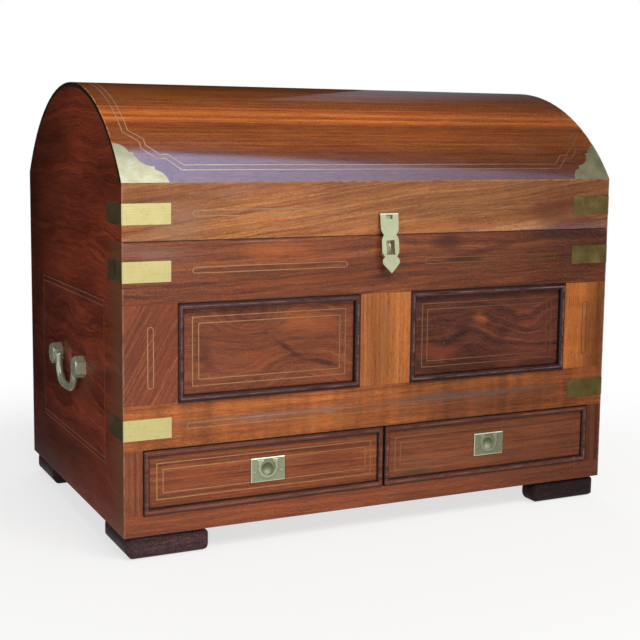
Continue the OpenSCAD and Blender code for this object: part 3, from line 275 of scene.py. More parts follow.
class Wood(Shader):
    """Lacquered wood. Once its axes are set, each call of wood() adds one layer."""

    def __init__(self, name, along, across, seed, on_dome, sideways):
        super().__init__(name)
        self.places = {"x": self.x, "y": self.y, "z": self.z}
        self.level = self.y if sideways else self.x
        if on_dome:
            self.out_y = self.less(self.y, mid_y)
            self.out_z = self.less(self.z, dome_axis_z)
            angle = self.math("ARCTAN2", self.out_y, self.out_z)
            self.high = self.times(self.total(angle, dome_half), dome_r)
            self.local = self.join(self.x, self.high, 0.0)
        else:
            self.high = self.z
            turn = Matrix((along, across, along.cross(across))).to_euler("XYZ")
            self.local = self.space(Vector((1.7, 2.3, 3.1)) * (seed + 1), turn)
        self.u, self.v, self.w = self.split(self.local)

    def ellipse(self, at_x, at_z, half_x, half_z, turn=0.0):
        """0 in the middle of an ellipse and 1 on its edge, in millimetres and degrees."""
        dx = self.less(self.level, at_x / 1000)
        dz = self.less(self.high, at_z / 1000)
        c, n = math.cos(math.radians(turn)), math.sin(math.radians(turn))
        a = self.total(self.times(dx, c * 1000 / half_x), self.times(dz, n * 1000 / half_x))
        b = self.total(self.times(dx, -n * 1000 / half_z), self.times(dz, c * 1000 / half_z))
        return self.length(a, b)

    def grow(self, tones, lines, bend, reach, contrast, fuzz, eyes):
        """Growth lines, bent by two sizes of wave and round the eyes, with streaks, fibres and fuzz."""
        self.wide = self.noise(self.stretch(self.local, [n / reach for n in WIDE_WAVES]), 1.0)
        self.small = self.noise(self.stretch(self.local, [n / reach for n in SMALL_WAVES]))
        waves = self.centred(self.wide, WIDE_BEND * bend), self.centred(self.small, SMALL_BEND * bend)
        bent = self.total(self.v, *waves, self.times(self.w, TILT))
        for *ellipse, lift in eyes:
            lifted = self.span(self.ellipse(*ellipse), 0.0, 1.0, lift / 1000, 0.0, smooth=True)
            bent = self.total(bent, lifted)
        growth = self.noise(self.times(bent, lines), 3.0, 0.62, flat=True)
        self.streak = self.noise(self.stretch(self.join(self.u, bent, self.w), STREAKS), 4.0, 0.6)
        self.fibre = self.noise(self.stretch(self.local, FIBRES), 3.0, 0.65)
        grain = self.noise(self.stretch(self.local, GRAINS))
        layers = (
            self.centred(growth, LINE_STRENGTH * contrast), self.centred(self.streak, contrast),
            self.centred(self.fibre, FIBRE_STRENGTH), self.centred(grain, fuzz),
        )
        step = (LIGHTEST_AT - DARKEST_AT) / (len(tones) - 1)
        stops = [(DARKEST_AT + step * i, srgb(*tone)) for i, tone in enumerate(tones)]
        self.colour = self.ramp(self.total(*layers, 0.5), stops)

    def shade(self, tone, curl, painted_shade, painted_light_rows):
        """Broad clouds of tone, the cross ripple of curly wood, painted shade along an axis, and painted
        light and shade by height.
        """
        cloud = self.noise(self.stretch(self.local, CLOUDS), 2.0, 0.55)
        shade = self.span(cloud, 0.3, 0.7, 1 - tone, 1 + tone)
        if curl:
            ripple = self.noise(self.stretch(self.local, RIPPLES), 1.0)
            shade = self.times(shade, self.span(ripple, 0.3, 0.7, 1 - curl, 1 + curl))
        # Painted shade, darker along one axis
        if painted_shade:
            axis, start, end, last = painted_shade
            shade = self.times(shade, self.span(self.places[axis], start, end, 1.0, last, smooth=True))
        # Painted light and shade by height
        if painted_light_rows:
            top = painted_light_rows[-1][0]
            stops = [(at / top, (k / 2, k / 2, k / 2, 1)) for at, k in painted_light_rows]
            shade = self.times(shade, self.times(self.ramp(self.times(self.high, 1000 / top), stops), 2.0))
        grey = self.made("ShaderNodeCombineColor", shade, shade, shade)
        self.colour = self.mix(1.0, self.colour, grey, "MULTIPLY")

    def tint(self, patches):
        """Soft patches of another tint, broken up by the figure."""
        if not patches:
            return
        uneven = self.centred(self.small, 2.2), self.centred(self.wide, 1.2)
        streaky = self.span(self.streak, 0.3, 0.6, 0.5, 1.0)
        for ellipse, tint, share in patches:
            edge = self.total(self.ellipse(*ellipse), *uneven)
            inside = self.span(edge, 0.0, 1.15, share, 0.0, smooth=True)
            self.paint(self.times(inside, streaky), tint)

    def mark(self, dark):
        """Pores, and small nicks and dust."""
        self.pores = self.span(self.noise(self.stretch(self.local, PORES), 1.0), 0.60, 0.68)
        self.paint(self.times(self.pores, PORE_SHARE), dark, light=0.45)
        self.nicks = self.span(self.noise(self.stretch(self.local, NICKS)), 0.74, 0.78)
        self.paint(self.times(self.nicks, NICK_SHARE), DUST)

    def line(self, outline, width, share, tint):
        """A line of tint along the outline of a box, or a set distance inside it."""
        low, top, inset = outline
        cx, cz = (low.x + top.x) / 2, (low.z + top.z) / 2
        dx, dz = self.less(self.x, cx), self.less(self.z, cz)
        out = self.beyond(dx, dz, top.x - cx - inset, top.z - cz - inset)
        self.paint(self.times(self.near(out, 0.0, width), share), tint)

    def follow_edges(self, strip, gap_shade, frames, crest_highlights, crest_highlight_tint, wear):
        """The marks that follow the board's edges and the mouldings on it."""
        if strip:
            axis, at, width, tint = strip
            self.paint(self.times(self.near(self.places[axis], at, width), STRIP_SHARE), tint)
        # Painted shade in the gap between the lid and the body
        for axis, at in gap_shade:
            self.paint(self.times(self.near(self.places[axis], at, GAP_SHADE_WIDTH), GAP_SHADE_SHARE), SHADE_AND_DIRT)
        # Dark lines of painted shade and dirt along the mouldings and plates
        for outline in frames:
            self.line(outline, SHADED_OUTLINE_WIDTH, SHADED_OUTLINE_SHARE, SHADE_AND_DIRT)
        # Painted highlight along the crests of the beads
        if crest_highlights:
            crest_highlight_share = self.span(self.noise(self.stretch(self.local, CREST_HIGHLIGHT_BREAKS), 3.0), 0.38, 0.64, 0.0, 0.6)
            for outline in crest_highlights:
                self.line(outline, CREST_HIGHLIGHT_WIDTH, crest_highlight_share, crest_highlight_tint)
        self.broken = self.span(self.noise(self.stretch(self.local, BREAKS), 3.0), 0.36, 0.62)
        for axis, at in wear:
            rub = self.times(self.near(self.places[axis], at, WEAR_WIDTH), self.broken)
            self.paint(self.times(rub, WEAR_SHARE), RUBBED)

    def finish_dome(self):
        """The cut ends of the dome's skin are dark, with a pale rim that is painted highlight and wear."""
        normal = self.add("ShaderNodeNewGeometry").outputs["True Normal"]
        facing = self.size(self.split(normal)[0])
        self.paint(self.span(facing, 0.7, 0.9), END_GRAIN)
        # Painted highlight and wear along the rim of the dome's ends
        near_end = self.near(self.size(self.x), half_w, DOME_RIM_WIDTH)
        rim = self.times(near_end, self.span(facing, 0.2, 0.6, 0.95, 0.0))
        self.paint(self.times(rim, self.broken), DOME_RIM_HIGHLIGHT_AND_WEAR)

    def lacquer(self, gloss, shine, on_dome):
        """The smeared gloss, with a thick coat on the dome's outside and plain wood on its inside."""
        smear = self.noise(self.stretch(self.local, SMEARS), 3.0, 0.6)
        smeared = self.span(smear, 0.3, 0.7, gloss - 0.05, gloss + 0.09)
        rough = self.total(smeared, self.times(self.nicks, 0.3))
        if on_dome:
            from_axis = self.length(self.out_y, self.out_z)
            outside = self.span(from_axis, dome_r - SKIN_DEEP, dome_r - SKIN_SHALLOW)
            inside = self.span(outside, 0.0, 1.0, BARE_ROUGHNESS, 0.0)
            rough = self.total(self.times(rough, outside), inside)
            self.set(Coat_Weight=outside, Coat_Roughness=COAT_ROUGHNESS, Coat_IOR=COAT_IOR)
        height = self.total(self.times(self.fibre, 0.5), self.times(self.pores, -1.0))
        self.set(Base_Color=self.colour, Roughness=rough, Specular_IOR_Level=shine)
        self.set(Normal=self.bump(height, WOOD_RELIEF))


def patch(at_x, at_z, half_x, half_z, tint, share, turn=0):
    """A soft ellipse of tint on a board, in millimetres and degrees."""
    return (at_x, at_z, half_x, half_z, turn), tint, share


def wood(name, tones, along=X, across=Z, lines=90.0, bend=0.004, reach=0.25, contrast=1.0, tone=0.22,
         curl=0.0, fuzz=0.5, gloss=0.24, shine=0.35, seed=0, eyes=(), patches=(), painted_light_rows=(), painted_shade=None,
         wear=(), gap_shade=(), strip=None, frames=(), crest_highlights=(), crest_highlight_tint=None, on_dome=False,
         sideways=False):
    """Lacquered wood. Places of eyes, patches and painted_light_rows are in millimetres along x and z, on
    the dome along x and its arc, and sideways along y and z. Other lengths are in metres.

    tones run from its dark lines to its light ground. along and across are the ways in which its lines run
    and follow each other, and lines is how many cross a metre. bend and reach are the height and length of
    their waves. contrast, tone, curl and fuzz are the strength of the lines, the clouds, the ripple and the
    fine grain. gloss is the roughness of its lacquer, and shine how strongly that reflects.

    eyes bend the lines round an ellipse, each by a lift, patches tint one, and painted_light_rows paint
    light and shade on the board by height. painted_shade darkens it with painted shade from one place on an
    axis to another, down to a share. wear and gap_shade are edges, each an axis and a place on it: along
    wear the lacquer is worn pale, and along gap_shade lies a dark line of painted shade. strip tints a band
    along one.
    frames are the outlines of mouldings and plates, with a dark line of painted shade and grime along them,
    and crest_highlights those with a painted highlight along their crest.
    """
    s = Wood(name, along, across, seed, on_dome, sideways)
    s.grow(tones, lines, bend, reach, contrast, fuzz, eyes)
    s.shade(tone, curl, painted_shade, painted_light_rows)
    s.tint(patches)
    s.mark(tones[0])
    s.follow_edges(strip, gap_shade, frames, crest_highlights, crest_highlight_tint, wear)
    if on_dome:
        s.finish_dome()
    s.lacquer(gloss, shine, on_dome)
    return s.material


def mark_plate(s, plate, screws):
    """Marks a flush plate: its bevelled rim is worn bright and carries a painted highlight, painted shade
    darkens its cup, and a dark ring lies round its screws. One material serves both plates, which mirror
    each other.
    Gives 1 in the cup, 0 outside it."""
    low, high = plate
    screw_low, screw_high = screws
    cx, cz = (low.x + high.x) / 2, (low.z + high.z) / 2
    dx = s.less(s.size(s.x), cx)
    out = s.beyond(dx, s.less(s.z, cz), high.x - cx, high.z - cz)
    # Painted highlight and worn bright brass on the plate's bevelled rim
    s.paint(s.times(s.span(out, BEVEL_FROM, BEVEL_TO), 0.7), PLATE_RIM_HIGHLIGHT_AND_WEAR)
    # Painted shade in the plate's cup
    cup_shade = s.span(s.y, low.y + CUP_SHADE_FROM, low.y + CUP_SHADE_TO)
    s.paint(s.times(cup_shade, 0.6), PLATE_CUP_SHADE)
    radius = (screw_high.z - screw_low.z) / 2
    screw_x, screw_z = screw_high.x - radius - cx, screw_low.z + radius
    from_screw = s.length(s.less(s.size(dx), screw_x), s.less(s.z, screw_z))
    # A dark ring round each screw
    s.paint(s.times(s.near(from_screw, radius, SCREW_RING_WIDTH), SCREW_RING_SHARE), SCREW_RING_DARK)
    return cup_shade


def metal(name, colour, dark, gloss=0.3, spots=0.3, clouds=0.5, seed=0, shift=None, ends=None, plate=None,
          solid=1.0):
    """Worn brass: clouds of tarnish in dark over colour, with clouds as their share, fine scratches and
    spots. solid is how far it is metal, and is lower for the inlaid lines. shift is a second colour, a
    painted darker reflection towards the right end of the chest that the right side takes less of, and ends
    its colour on the chest's sides. plate is the box of a flush plate and the box of its screws."""
    s = Shader(name)
    local = s.space(Vector((0.7, 1.9, 2.7)) * (seed + 1))
    s.colour = srgb(*colour)
    side_from, side_to = half_w - 0.002, half_w - 0.001
    if ends:
        s.paint(s.span(s.size(s.x), side_from, side_to), ends)
    if shift:
        # Painted darker reflection towards the right end of the chest, weaker on the right side
        on_front = s.span(s.x, side_from, side_to, 1.0, SIDE_PAINTED_REFLECTION_SHARE)
        s.paint(s.times(s.span(s.x, PAINTED_REFLECTION_FROM_X, PAINTED_REFLECTION_TO_X, smooth=True), on_front), shift)
    cloud = s.span(s.noise(s.stretch(local, TARNISH), 4.0, 0.6), 0.38, 0.68)
    s.paint(s.times(cloud, clouds), dark)
    spot = s.span(s.noise(s.stretch(local, SPOTS)), 0.62, 0.72)
    s.paint(s.times(spot, spots), dark, light=0.4)
    scratch = s.span(s.noise(s.stretch(local, SCRATCHES)), 0.62, 0.7)
    s.paint(s.times(scratch, 0.3), dark, light=0.7)
    lines = s.noise(s.stretch(local, BRUSH_LINES))
    rough = s.total(s.span(cloud, 0.0, 1.0, gloss, gloss + 0.32 * clouds), s.centred(lines, 0.16))
    if plate:
        rough = s.total(rough, s.times(mark_plate(s, *plate), 0.4))
    height = s.total(lines, s.times(spot, -0.6))
    s.set(Base_Color=s.colour, Roughness=rough, Normal=s.bump(height, BRASS_RELIEF), Metallic=solid)
    return s.material


def dress(material, *names):
    """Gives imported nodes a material, and keeps each of their curved faces smooth."""
    for name in names:
        mesh = nodes[name].data
        mesh.materials.clear()
        mesh.materials.append(material)
        mesh.polygons.foreach_set("use_smooth", [True] * len(mesh.polygons))
        mesh.update()


# Outlines of the bead mouldings, and how far in from them a dark line of painted shade and dirt runs, with
# a painted highlight along their crests halfway in
BEAD = 0.008
panels = [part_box("left_panel_moulding"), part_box("right_panel_moulding")]
drawers = [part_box("left_drawer_moulding"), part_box("right_drawer_moulding")]
panel_outer = [(*box, 0.0) for box in panels]
panel_inner = [(*box, BEAD) for box in panels]
panel_crests = [(*box, BEAD / 2) for box in panels]
drawer_outer = [(*box, 0.0) for box in drawers]
drawer_inner = [(*box, BEAD) for box in drawers]
drawer_crests = [(*box, BEAD / 2) for box in drawers]
plates = [(*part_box(side + "_pull_plate"), 0.0) for side in ("left", "right")]
corner = [("x", -half_w), ("x", half_w)]

# Woods of the front, each board with its own cut. A fade on a board is painted shade, darker towards the
# right end of the chest
dress(wood(
    "wood_lid_rail", [(112, 60, 34), (148, 88, 50), (172, 110, 62), (198, 136, 82)],
    along=Vector((0.992, 0, 0.126)), across=Vector((-0.126, 0, 0.992)), lines=60, bend=0.016, reach=0.42,
    contrast=0.95, curl=0.05, seed=1, wear=corner + [("z", crease_z)], gap_shade=[("z", rim_z)],
    painted_shade=("x", -0.02, 0.36, 0.62),
    patches=[
        # The greyish mauve patches towards the left end are painted reflection
        patch(-335, 452, 80, 34, (165, 124, 104), 0.7),
        patch(-230, 476, 90, 12, (166, 120, 96), 0.5, turn=4),
        patch(-150, 446, 110, 10, (204, 126, 54), 0.6, turn=7),
        patch(60, 424, 130, 9, (196, 120, 58), 0.5, turn=2), patch(-340, 424, 90, 10, (172, 122, 92), 0.6),
        patch(300, 448, 90, 30, (96, 42, 26), 0.65), patch(320, 424, 90, 12, (88, 42, 28), 0.7),
    ],
), "lid_front_rail")
dress(wood(
    "wood_top_rail", [(74, 34, 23), (112, 57, 34), (138, 74, 42), (164, 94, 54)], lines=55, bend=0.02,
    reach=0.36, seed=2, wear=corner, gap_shade=[("z", rim_z)], frames=panel_outer, painted_shade=("x", -0.02, 0.3, 0.58),
    patches=[
        # The greyish mauve patch at the left end is painted reflection
        patch(-330, 400, 110, 20, (148, 106, 90), 0.95), patch(-150, 398, 130, 16, (182, 98, 44), 0.8),
        patch(-220, 410.5, 200, 1.6, (190, 144, 118), 0.6), patch(-325, 372, 90, 20, (134, 84, 62), 0.5),
        patch(101, 404, 26, 13, (48, 20, 16), 0.75), patch(125, 376, 28, 5, (46, 20, 18), 0.7),
        patch(190, 394, 75, 5, (50, 22, 17), 0.6, turn=12), patch(340, 399, 60, 40, (52, 24, 18), 0.6),
        patch(300, 408, 130, 7, (62, 32, 30), 0.8), patch(-120, 356, 120, 10, (168, 84, 36), 0.4, turn=3),
    ],
), "front_top_rail")
dress(wood(
    "wood_mid_rail", [(106, 52, 27), (146, 76, 36), (174, 96, 44), (196, 120, 56)], lines=60, bend=0.006,
    reach=0.3, contrast=0.75, curl=0.22, seed=3, wear=corner, frames=panel_outer + drawer_outer,
    painted_shade=("x", -0.08, 0.2, 0.62),
    patches=[
        patch(-205, 192, 60, 12, (196, 110, 44), 0.7), patch(-101, 163, 70, 12, (194, 114, 48), 0.7),
        patch(-150, 177, 170, 6.5, (152, 112, 94), 0.95), patch(150, 178, 170, 6.5, (104, 78, 68), 0.95),
        patch(170, 162, 210, 12, (84, 36, 22), 0.5), patch(315, 192, 80, 15, (150, 76, 34), 0.55),
    ],
), "front_mid_rail")
dress(wood(
    "wood_bottom_rail", [(90, 41, 25), (128, 62, 34), (150, 77, 41), (168, 94, 52)], lines=80, bend=0.012,
    reach=0.3, seed=4, wear=corner, frames=drawer_outer, painted_shade=("x", 0.05, 0.37, 0.46),
    patches=[patch(-120, 48, 190, 6, (176, 82, 36), 0.5)],
), "front_bottom_rail")
dress(wood(
    "wood_left_stile", [(98, 43, 28), (124, 60, 37), (140, 73, 45), (178, 108, 70)],
    along=Vector((0.5, 0, 0.866)), across=Vector((0.866, 0, -0.5)), lines=210, bend=0.0015, reach=0.4,
    contrast=0.75, seed=5, wear=corner, frames=panel_outer,
), "front_left_stile")
dress(wood(
    "wood_muntin", [(130, 70, 34), (166, 94, 46), (182, 110, 54), (198, 128, 66)], along=Z, across=X,
    lines=110, bend=0.002, reach=0.3, contrast=0.8, seed=6, frames=panel_outer,
), "front_muntin")
dress(wood(
    "wood_right_stile", [(122, 62, 30), (156, 86, 38), (178, 102, 44), (192, 116, 54)], along=Z, across=X,
    lines=60, bend=0.006, reach=0.3, contrast=0.55, curl=0.12, seed=7, wear=corner, frames=panel_outer,
    painted_shade=("x", 0.32, 0.378, 0.5),
    patches=[patch(325, 249, 14, 60, (170, 98, 46), 0.4)],
), "front_right_stile")
dress(wood(
    "wood_bay_stiles", [(94, 44, 27), (126, 64, 37), (144, 78, 45), (158, 92, 54)], along=Z, across=X,
    lines=110, seed=8, wear=corner, frames=drawer_outer, painted_shade=("x", 0.2, 0.372, 0.42),
), "drawer_bay_stiles")
dress(wood(
    "wood_left_panel", [(84, 38, 26), (120, 60, 38), (142, 76, 45), (166, 96, 56)], lines=110, bend=0.03,
    reach=0.15, contrast=0.75, tone=0.16, seed=9, frames=panel_inner,
    eyes=[(-205, 304, 70, 60, 30), (-120, 229, 90, 50, -18)],
    patches=[
        patch(-268, 266, 16, 36, (72, 34, 28), 0.6, turn=8), patch(-230, 322, 46, 10, (84, 42, 36), 0.5),
        patch(-118, 300, 60, 18, (184, 98, 44), 0.6, turn=-12),
        patch(-205, 250, 60, 16, (166, 82, 40), 0.5, turn=14),
        patch(-148, 264, 44, 4.5, (74, 32, 25), 0.85, turn=-35),
        patch(-100, 244, 36, 4.5, (70, 30, 25), 0.85, turn=-14),
        patch(-70, 310, 16, 16, (104, 44, 34), 0.5),
    ],
), "left_panel")
dress(wood(
    "wood_right_panel", [(52, 25, 18), (80, 38, 26), (102, 50, 33), (124, 64, 40)], lines=80, bend=0.03,
    reach=0.15, contrast=0.9, tone=0.3, seed=10, frames=panel_inner,
    eyes=[(240, 272, 64, 28, 16), (150, 266, 50, 50, -20)],
    patches=[
        patch(160, 288, 20, 13, (168, 84, 36), 0.8, turn=-35),
        patch(92, 244, 34, 14, (136, 62, 38), 0.6, turn=10), patch(240, 276, 32, 10, (132, 58, 34), 0.6),
        patch(128, 272, 18, 22, (34, 16, 15), 0.7), patch(196, 266, 20, 12, (38, 18, 15), 0.6),
        patch(210, 222, 60, 7, (136, 66, 36), 0.45, turn=6),
    ],
), "right_panel")
dress(wood(
    "wood_left_drawer", [(92, 40, 22), (130, 63, 33), (152, 79, 40), (170, 96, 48)], lines=120, bend=0.008,
    reach=0.5, seed=11, frames=drawer_inner + plates,
    patches=[
        patch(-60, 114, 60, 18, (112, 48, 28), 0.45, turn=14), patch(-280, 100, 60, 16, (176, 88, 42), 0.4),
    ],
), "left_drawer_front")
dress(wood(
    "wood_right_drawer", [(90, 43, 25), (122, 61, 35), (142, 76, 42), (158, 90, 50)], lines=130, bend=0.004,
    reach=0.5, contrast=0.7, seed=12, frames=drawer_inner + plates, painted_shade=("x", 0.12, 0.35, 0.7),
    patches=[patch(62, 84, 50, 26, (112, 78, 50), 0.45), patch(55, 72, 40, 8, (80, 50, 32), 0.5)],
), "right_drawer_front")
dress(wood(
    "wood_dome", [(108, 44, 22), (150, 74, 32), (178, 98, 40), (204, 126, 54)], lines=120, bend=0.0022,
    reach=1.3, contrast=0.7, tone=0.12, gloss=0.2, shine=0.3, seed=13, on_dome=True,
    painted_shade=("x", 0.0, 0.38, 0.66),
    # Painted light and shade by height on the dome: a lit band across it, darker below and above
    painted_light_rows=[
        (0, 0.34), (36, 0.4), (58, 0.6), (76, 0.74), (94, 0.7), (100, 0.56), (107, 1.2), (124, 1.42),
        (140, 1.25), (150, 0.78), (176, 0.66), (300, 0.5), (600, 0.75),
    ],
    patches=[patch(-345, 200, 60, 60, (150, 82, 46), 0.5)],
), "dome_skin")
dress(wood(
    "wood_panel_beads", [(34, 17, 18), (60, 30, 30), (82, 44, 40), (100, 58, 50)], lines=160, tone=0.3,
    # The crest tint is a painted highlight
    seed=14, frames=panel_outer + panel_inner, crest_highlights=panel_crests, crest_highlight_tint=(160, 122, 124),
    painted_shade=("x", 0.0, 0.35, 0.75),
), "left_panel_moulding", "right_panel_moulding")
dress(wood(
    "wood_drawer_beads", [(56, 26, 21), (88, 43, 32), (112, 58, 42), (130, 72, 52)], lines=160, tone=0.3,
    # The crest tint is a painted highlight
    seed=21, frames=drawer_outer + drawer_inner, crest_highlights=drawer_crests, crest_highlight_tint=(166, 108, 84),
    painted_shade=("x", 0.1, 0.35, 0.6),
), "left_drawer_moulding", "right_drawer_moulding")

# Sides, back and inside
# The sides' tones are darker than the front's, painted shade for the sides that the light misses
shaded_side_tones = [(62, 24, 15), (112, 44, 25), (144, 60, 34), (172, 80, 45)]
# Painted shade, darker towards the back of the sides
side_painted_shade = ("y", -0.06, 0.24, 0.4)
dress(wood(
    "wood_side_frames", shaded_side_tones, along=Y, lines=90, bend=0.02, reach=0.12, contrast=0.55, tone=0.42,
    fuzz=0.8, gloss=0.36, shine=0.2, seed=15, painted_shade=side_painted_shade, wear=[("y", front_y)],
    strip=("y", front_y, 0.085, (124, 88, 60)),
), "left_side_frame", "right_side_frame")
dress(wood(
    "wood_side_panels", shaded_side_tones, along=Y, lines=50, bend=0.03, reach=0.12, contrast=0.8, tone=0.35,
    fuzz=0.9, gloss=0.5, shine=0.15, seed=16, painted_shade=side_painted_shade, sideways=True,
    patches=[
        # The first patch, pale pink between the handle's bosses, is painted highlight and wear
        patch(12, 228, 12, 16, (172, 104, 82), 0.9), patch(34, 236, 14, 12, (126, 84, 56), 0.7),
        patch(-71, 205, 26, 30, (120, 72, 44), 0.6), patch(-90, 176, 60, 16, (126, 56, 30), 0.6, turn=-30),
        patch(-30, 290, 90, 14, (150, 62, 34), 0.6, turn=-14),
    ],
), "left_side_panel", "right_side_panel")
dress(wood(
    "wood_lid_ends", shaded_side_tones, along=Y, lines=90, bend=0.02, reach=0.14, contrast=0.55, tone=0.45,
    fuzz=0.8, gloss=0.38, shine=0.2, seed=17, painted_shade=side_painted_shade,
), "lid_left_end", "lid_right_end")
dress(wood(
    "wood_back", [(44, 20, 13), (74, 34, 20), (94, 46, 26), (112, 58, 32)], lines=70, bend=0.02, reach=0.5,
    seed=18, gloss=0.36, shine=0.2,
), "back_boards", "lid_back_rail")
dress(wood(
    "wood_inside", [(120, 84, 54), (150, 112, 74), (172, 134, 92), (188, 150, 106)], lines=60, bend=0.01,
    reach=0.4, seed=19, gloss=0.5, shine=0.2,
), "well_floor", "base_board", "drawer_divider", "drawer_guides", "left_drawer_box", "right_drawer_box")
dress(wood(
    "wood_feet", [(42, 29, 31), (64, 46, 48), (80, 58, 60), (112, 76, 72)], lines=160, bend=0.006,
    reach=0.06, contrast=0.8, tone=0.3, fuzz=1.0, gloss=0.55, shine=0.08, seed=20,
    # Painted shade, darker towards the right
    painted_shade=("x", -0.28, 0.3, 0.4),
), "front_feet", "back_feet")

# Inlay and brass. A shift on the brass is a painted darker reflection towards the right end of the chest
dress(metal(
    "inlay_line", (190, 146, 98), (132, 92, 62), gloss=0.42, shift=(112, 70, 46), ends=(182, 140, 118),
    solid=0.6,
), "chest_stringing", "left_drawer_stringing", "right_drawer_stringing")
dress(metal(
    "inlay_dome", (182, 148, 114), (142, 106, 78), gloss=0.42, seed=6, shift=(104, 66, 42), solid=0.6,
), "lid_stringing")
dress(metal(
    "brass_bands", (244, 230, 162), (206, 190, 122), clouds=0.3, seed=1, shift=(148, 126, 80),
    ends=(228, 214, 168),
), "chest_bands", "lid_bands")
dress(metal(
    "brass_mounts", (160, 150, 112), (136, 126, 92), gloss=0.42, seed=4, shift=(112, 104, 76),
), "dome_corner_mounts")
dress(metal(
    "brass_hasp", (212, 216, 180), (176, 180, 146), spots=0.15, seed=2,
), "hasp_strap", "hasp_leaf", "hasp_pin", "hasp_staple")
dress(metal(
    "brass_plates", (182, 186, 156), (136, 144, 118), gloss=0.28, seed=5,
    plate=(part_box("right_pull_plate"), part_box("right_pull_screws")),
), "left_pull_plate", "right_pull_plate")
dress(metal(
    "brass_rings", (210, 216, 186), (150, 158, 130), gloss=0.24, seed=7,
), "left_pull_ring", "right_pull_ring", "left_pull_screws", "right_pull_screws")
dress(metal(
    "brass_handles", (214, 220, 194), (104, 134, 114), gloss=0.2, spots=0.5, seed=3, solid=0.5,
), "left_handle_bosses", "right_handle_bosses", "handle_nuts", "left_bail", "right_bail",
    "chest_hinge_leaves", "lid_hinge_leaves", "hinge_pins", "chest_screws", "lid_screws")


def soften(width, *names):
    """Rounds the sharp edges of small metal pieces a little, so that they catch the light."""
    for name in names:
        bevel = nodes[name].modifiers.new("soft edges", "BEVEL")
        bevel.width = width
        bevel.segments = 2
        bevel.limit_method = "ANGLE"
        bevel.angle_limit = math.radians(50)
        bevel.use_clamp_overlap = True
        bevel.harden_normals = True


soften(0.0004, "hasp_strap")
soften(0.0005, "left_handle_bosses", "right_handle_bosses")


# Studio
def upright(x0, x1, y, height):
    """The corners of a rectangle that stands on the ground."""
    return [(x0, y, 0), (x1, y, 0), (x1, y, height), (x0, y, height)]


def flat(x0, x1, y0, y1, z):
    """The corners of a level rectangle."""
    return [(x0, y0, z), (x1, y0, z), (x1, y1, z), (x0, y1, z)]


def sheet(name, corners, material):
    """A flat stage piece."""
    mesh = bpy.data.meshes.new(name)
    mesh.from_pydata(corners, [], [tuple(range(len(corners)))])
    mesh.materials.append(material)
    obj = bpy.data.objects.new(name, mesh)
    bpy.context.scene.collection.objects.link(obj)
    return obj


def floor_material():
    """A pale floor with the object's own shadow, which goes over into plain white further out."""
    s = Shader("floor")
    s.set(Base_Color=(0.9, 0.9, 0.9, 1.0), Roughness=1.0, Specular_IOR_Level=0.0)
    white = s.made("ShaderNodeEmission", (1.0, 1.0, 1.0, 1.0), 1.0)
    further_out = s.span(s.length(s.x, s.y), 0.5, 1.1, 0.7, 1.0, smooth=True)
    s.feed(s.end, s.blend(s.times(s.seen(), further_out), s.surface.outputs[0], white))
    return s.material


def card(name, corners, near, far=None, x0=0.0, x1=1.0, soft_edge=None):
    """A plain card that only the gloss of the lacquer and the brass shows. Its light runs from near at x0
    to far at x1. soft_edge is a slope, a value and a width, in which the light fades out before
    y + slope * x comes to the value."""
    s = Shader(name)
    light = s.mix(s.span(s.x, x0, x1), (*near, 1.0), (*(far or near), 1.0))
    strength = 1.0
    if soft_edge:
        slope, at, width = soft_edge
        out = s.total(s.y, s.times(s.x, slope))
        strength = s.span(out, at - width, at, 1.0, 0.0, smooth=True)
    s.feed(s.end, s.made("ShaderNodeEmission", light, strength))
    obj = sheet(name, corners, s.material)
    for ray in ("camera", "diffuse", "transmission", "volume_scatter", "shadow"):
        setattr(obj, "visible_" + ray, False)


FLOOR_REACH = 20
sheet("floor", flat(-FLOOR_REACH, FLOOR_REACH, -FLOOR_REACH, FLOOR_REACH, 0), floor_material())

# The room that the chest stood in, as the lacquer shows it: sky, dark roof, dark back wall and pale doorway
GROUND_Z, SKY_Z, ROOF_Z = 0.002, 2.3, 3.6
YARD_Y, WALL_Y = -3, 3.0
LEFT_X, DOOR_X, RIGHT_X = -5, 1.75, 6
card("sky", [(-0.4, -0.046, SKY_Z), (-0.4, -1.9, SKY_Z), (2.7, -1.9, SKY_Z), (2.7, -1.237, SKY_Z)],
     (2.3, 3.3, 5.5), (0.3, 0.42, 0.68), -0.1, 1.9, soft_edge=(0.384, -0.2, 0.16))
card("roof", flat(LEFT_X, RIGHT_X, -1.5, WALL_Y, ROOF_Z), (0.03, 0.025, 0.02))
card("back_wall", upright(LEFT_X, DOOR_X, WALL_Y, ROOF_Z), (0.025, 0.015, 0.01))
card("back_door", upright(DOOR_X, RIGHT_X, WALL_Y, ROOF_Z),
     (0.13, 0.17, 0.21), (0.04, 0.04, 0.04), 2.0, 3.0)
card("front_dark", upright(2.0, RIGHT_X, YARD_Y, 2.4), (0.5, 0.5, 0.45), (0.10, 0.08, 0.05), 2.0, 2.5)
card("front_ground", flat(-1.6, 4, YARD_Y, -0.28, GROUND_Z),
     (0.72, 0.72, 0.66), (0.16, 0.15, 0.12), -0.2, 0.8)
card("side_ground", flat(LEFT_X, -0.4, -0.2, WALL_Y, GROUND_Z), (0.02, 0.012, 0.01))

LAMP_W, LAMP_H = 2.4, 1.8
middle = Vector((0, mid_y, 0.3))


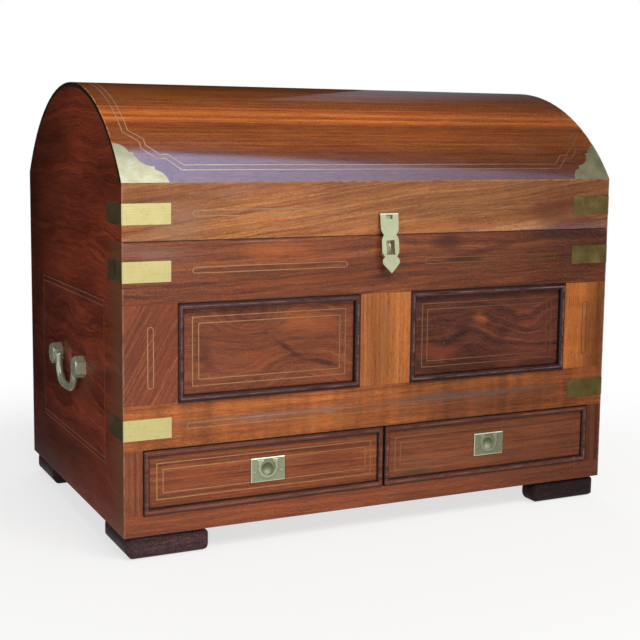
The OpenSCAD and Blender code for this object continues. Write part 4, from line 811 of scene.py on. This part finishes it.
def softbox(name, at, watts, colour=(1, 1, 1), glossy=True):
    """A rectangular lamp that faces the middle of the chest."""
    data = bpy.data.lights.new(name, "AREA")
    data.shape = "RECTANGLE"
    data.size, data.size_y = LAMP_W, LAMP_H
    data.energy = watts
    data.color = colour
    lamp = bpy.data.objects.new(name, data)
    lamp.location = at
    lamp.rotation_euler = (middle - Vector(at)).to_track_quat("-Z", "Y").to_euler()
    lamp.visible_glossy = glossy
    bpy.context.scene.collection.objects.link(lamp)


softbox("key", (0.3, -2.4, 3.0), 100, (1.0, 0.98, 0.95))
softbox("back_fill", (0.6, 3.0, 2.4), 35, glossy=False)

# A soft light from all sides, seen as plain white
AMBIENT_COLOUR, AMBIENT_STRENGTH = (0.8, 0.8, 0.8, 1), 0.38
world = bpy.data.worlds.new("studio")
world.use_nodes = True
surround = Tree(world.node_tree)
ambient = surround.made("ShaderNodeBackground", AMBIENT_COLOUR, AMBIENT_STRENGTH)
white = surround.made("ShaderNodeBackground", (1, 1, 1, 1), 1.0)
world_end = surround.add("ShaderNodeOutputWorld").inputs["Surface"]
surround.feed(world_end, surround.blend(surround.seen(), ambient, white))
bpy.context.scene.world = world

# The photograph's camera, fitted to the chest's corners in a 640 by 640 picture
IMAGE = 640
FOCAL = 1210.8
CENTRE = (280.05, 283.55)
SENSOR = 36
YAW, PITCH, ROLL = map(math.radians, (24.741, -6.797, 0.438))
camera_at = Vector((-0.8298, mid_y - 1.6935, 0.5433))
ahead = Vector((math.sin(YAW) * math.cos(PITCH), math.cos(YAW) * math.cos(PITCH), math.sin(PITCH)))
level = Vector((math.cos(YAW), -math.sin(YAW), 0))
upward = level.cross(ahead)
right = math.cos(ROLL) * level + math.sin(ROLL) * upward
up = math.cos(ROLL) * upward - math.sin(ROLL) * level
camera_data = bpy.data.cameras.new("camera")
camera_data.sensor_width = SENSOR
camera_data.lens = FOCAL / IMAGE * SENSOR
camera_data.shift_x = (IMAGE / 2 - CENTRE[0]) / IMAGE
camera_data.shift_y = (CENTRE[1] - IMAGE / 2) / IMAGE
camera = bpy.data.objects.new("camera", camera_data)
camera.matrix_world = Matrix.Translation(camera_at) @ Matrix((right, up, -ahead)).transposed().to_4x4()
bpy.context.scene.collection.objects.link(camera)
bpy.context.scene.camera = camera
bpy.context.scene.view_settings.view_transform = "Standard"
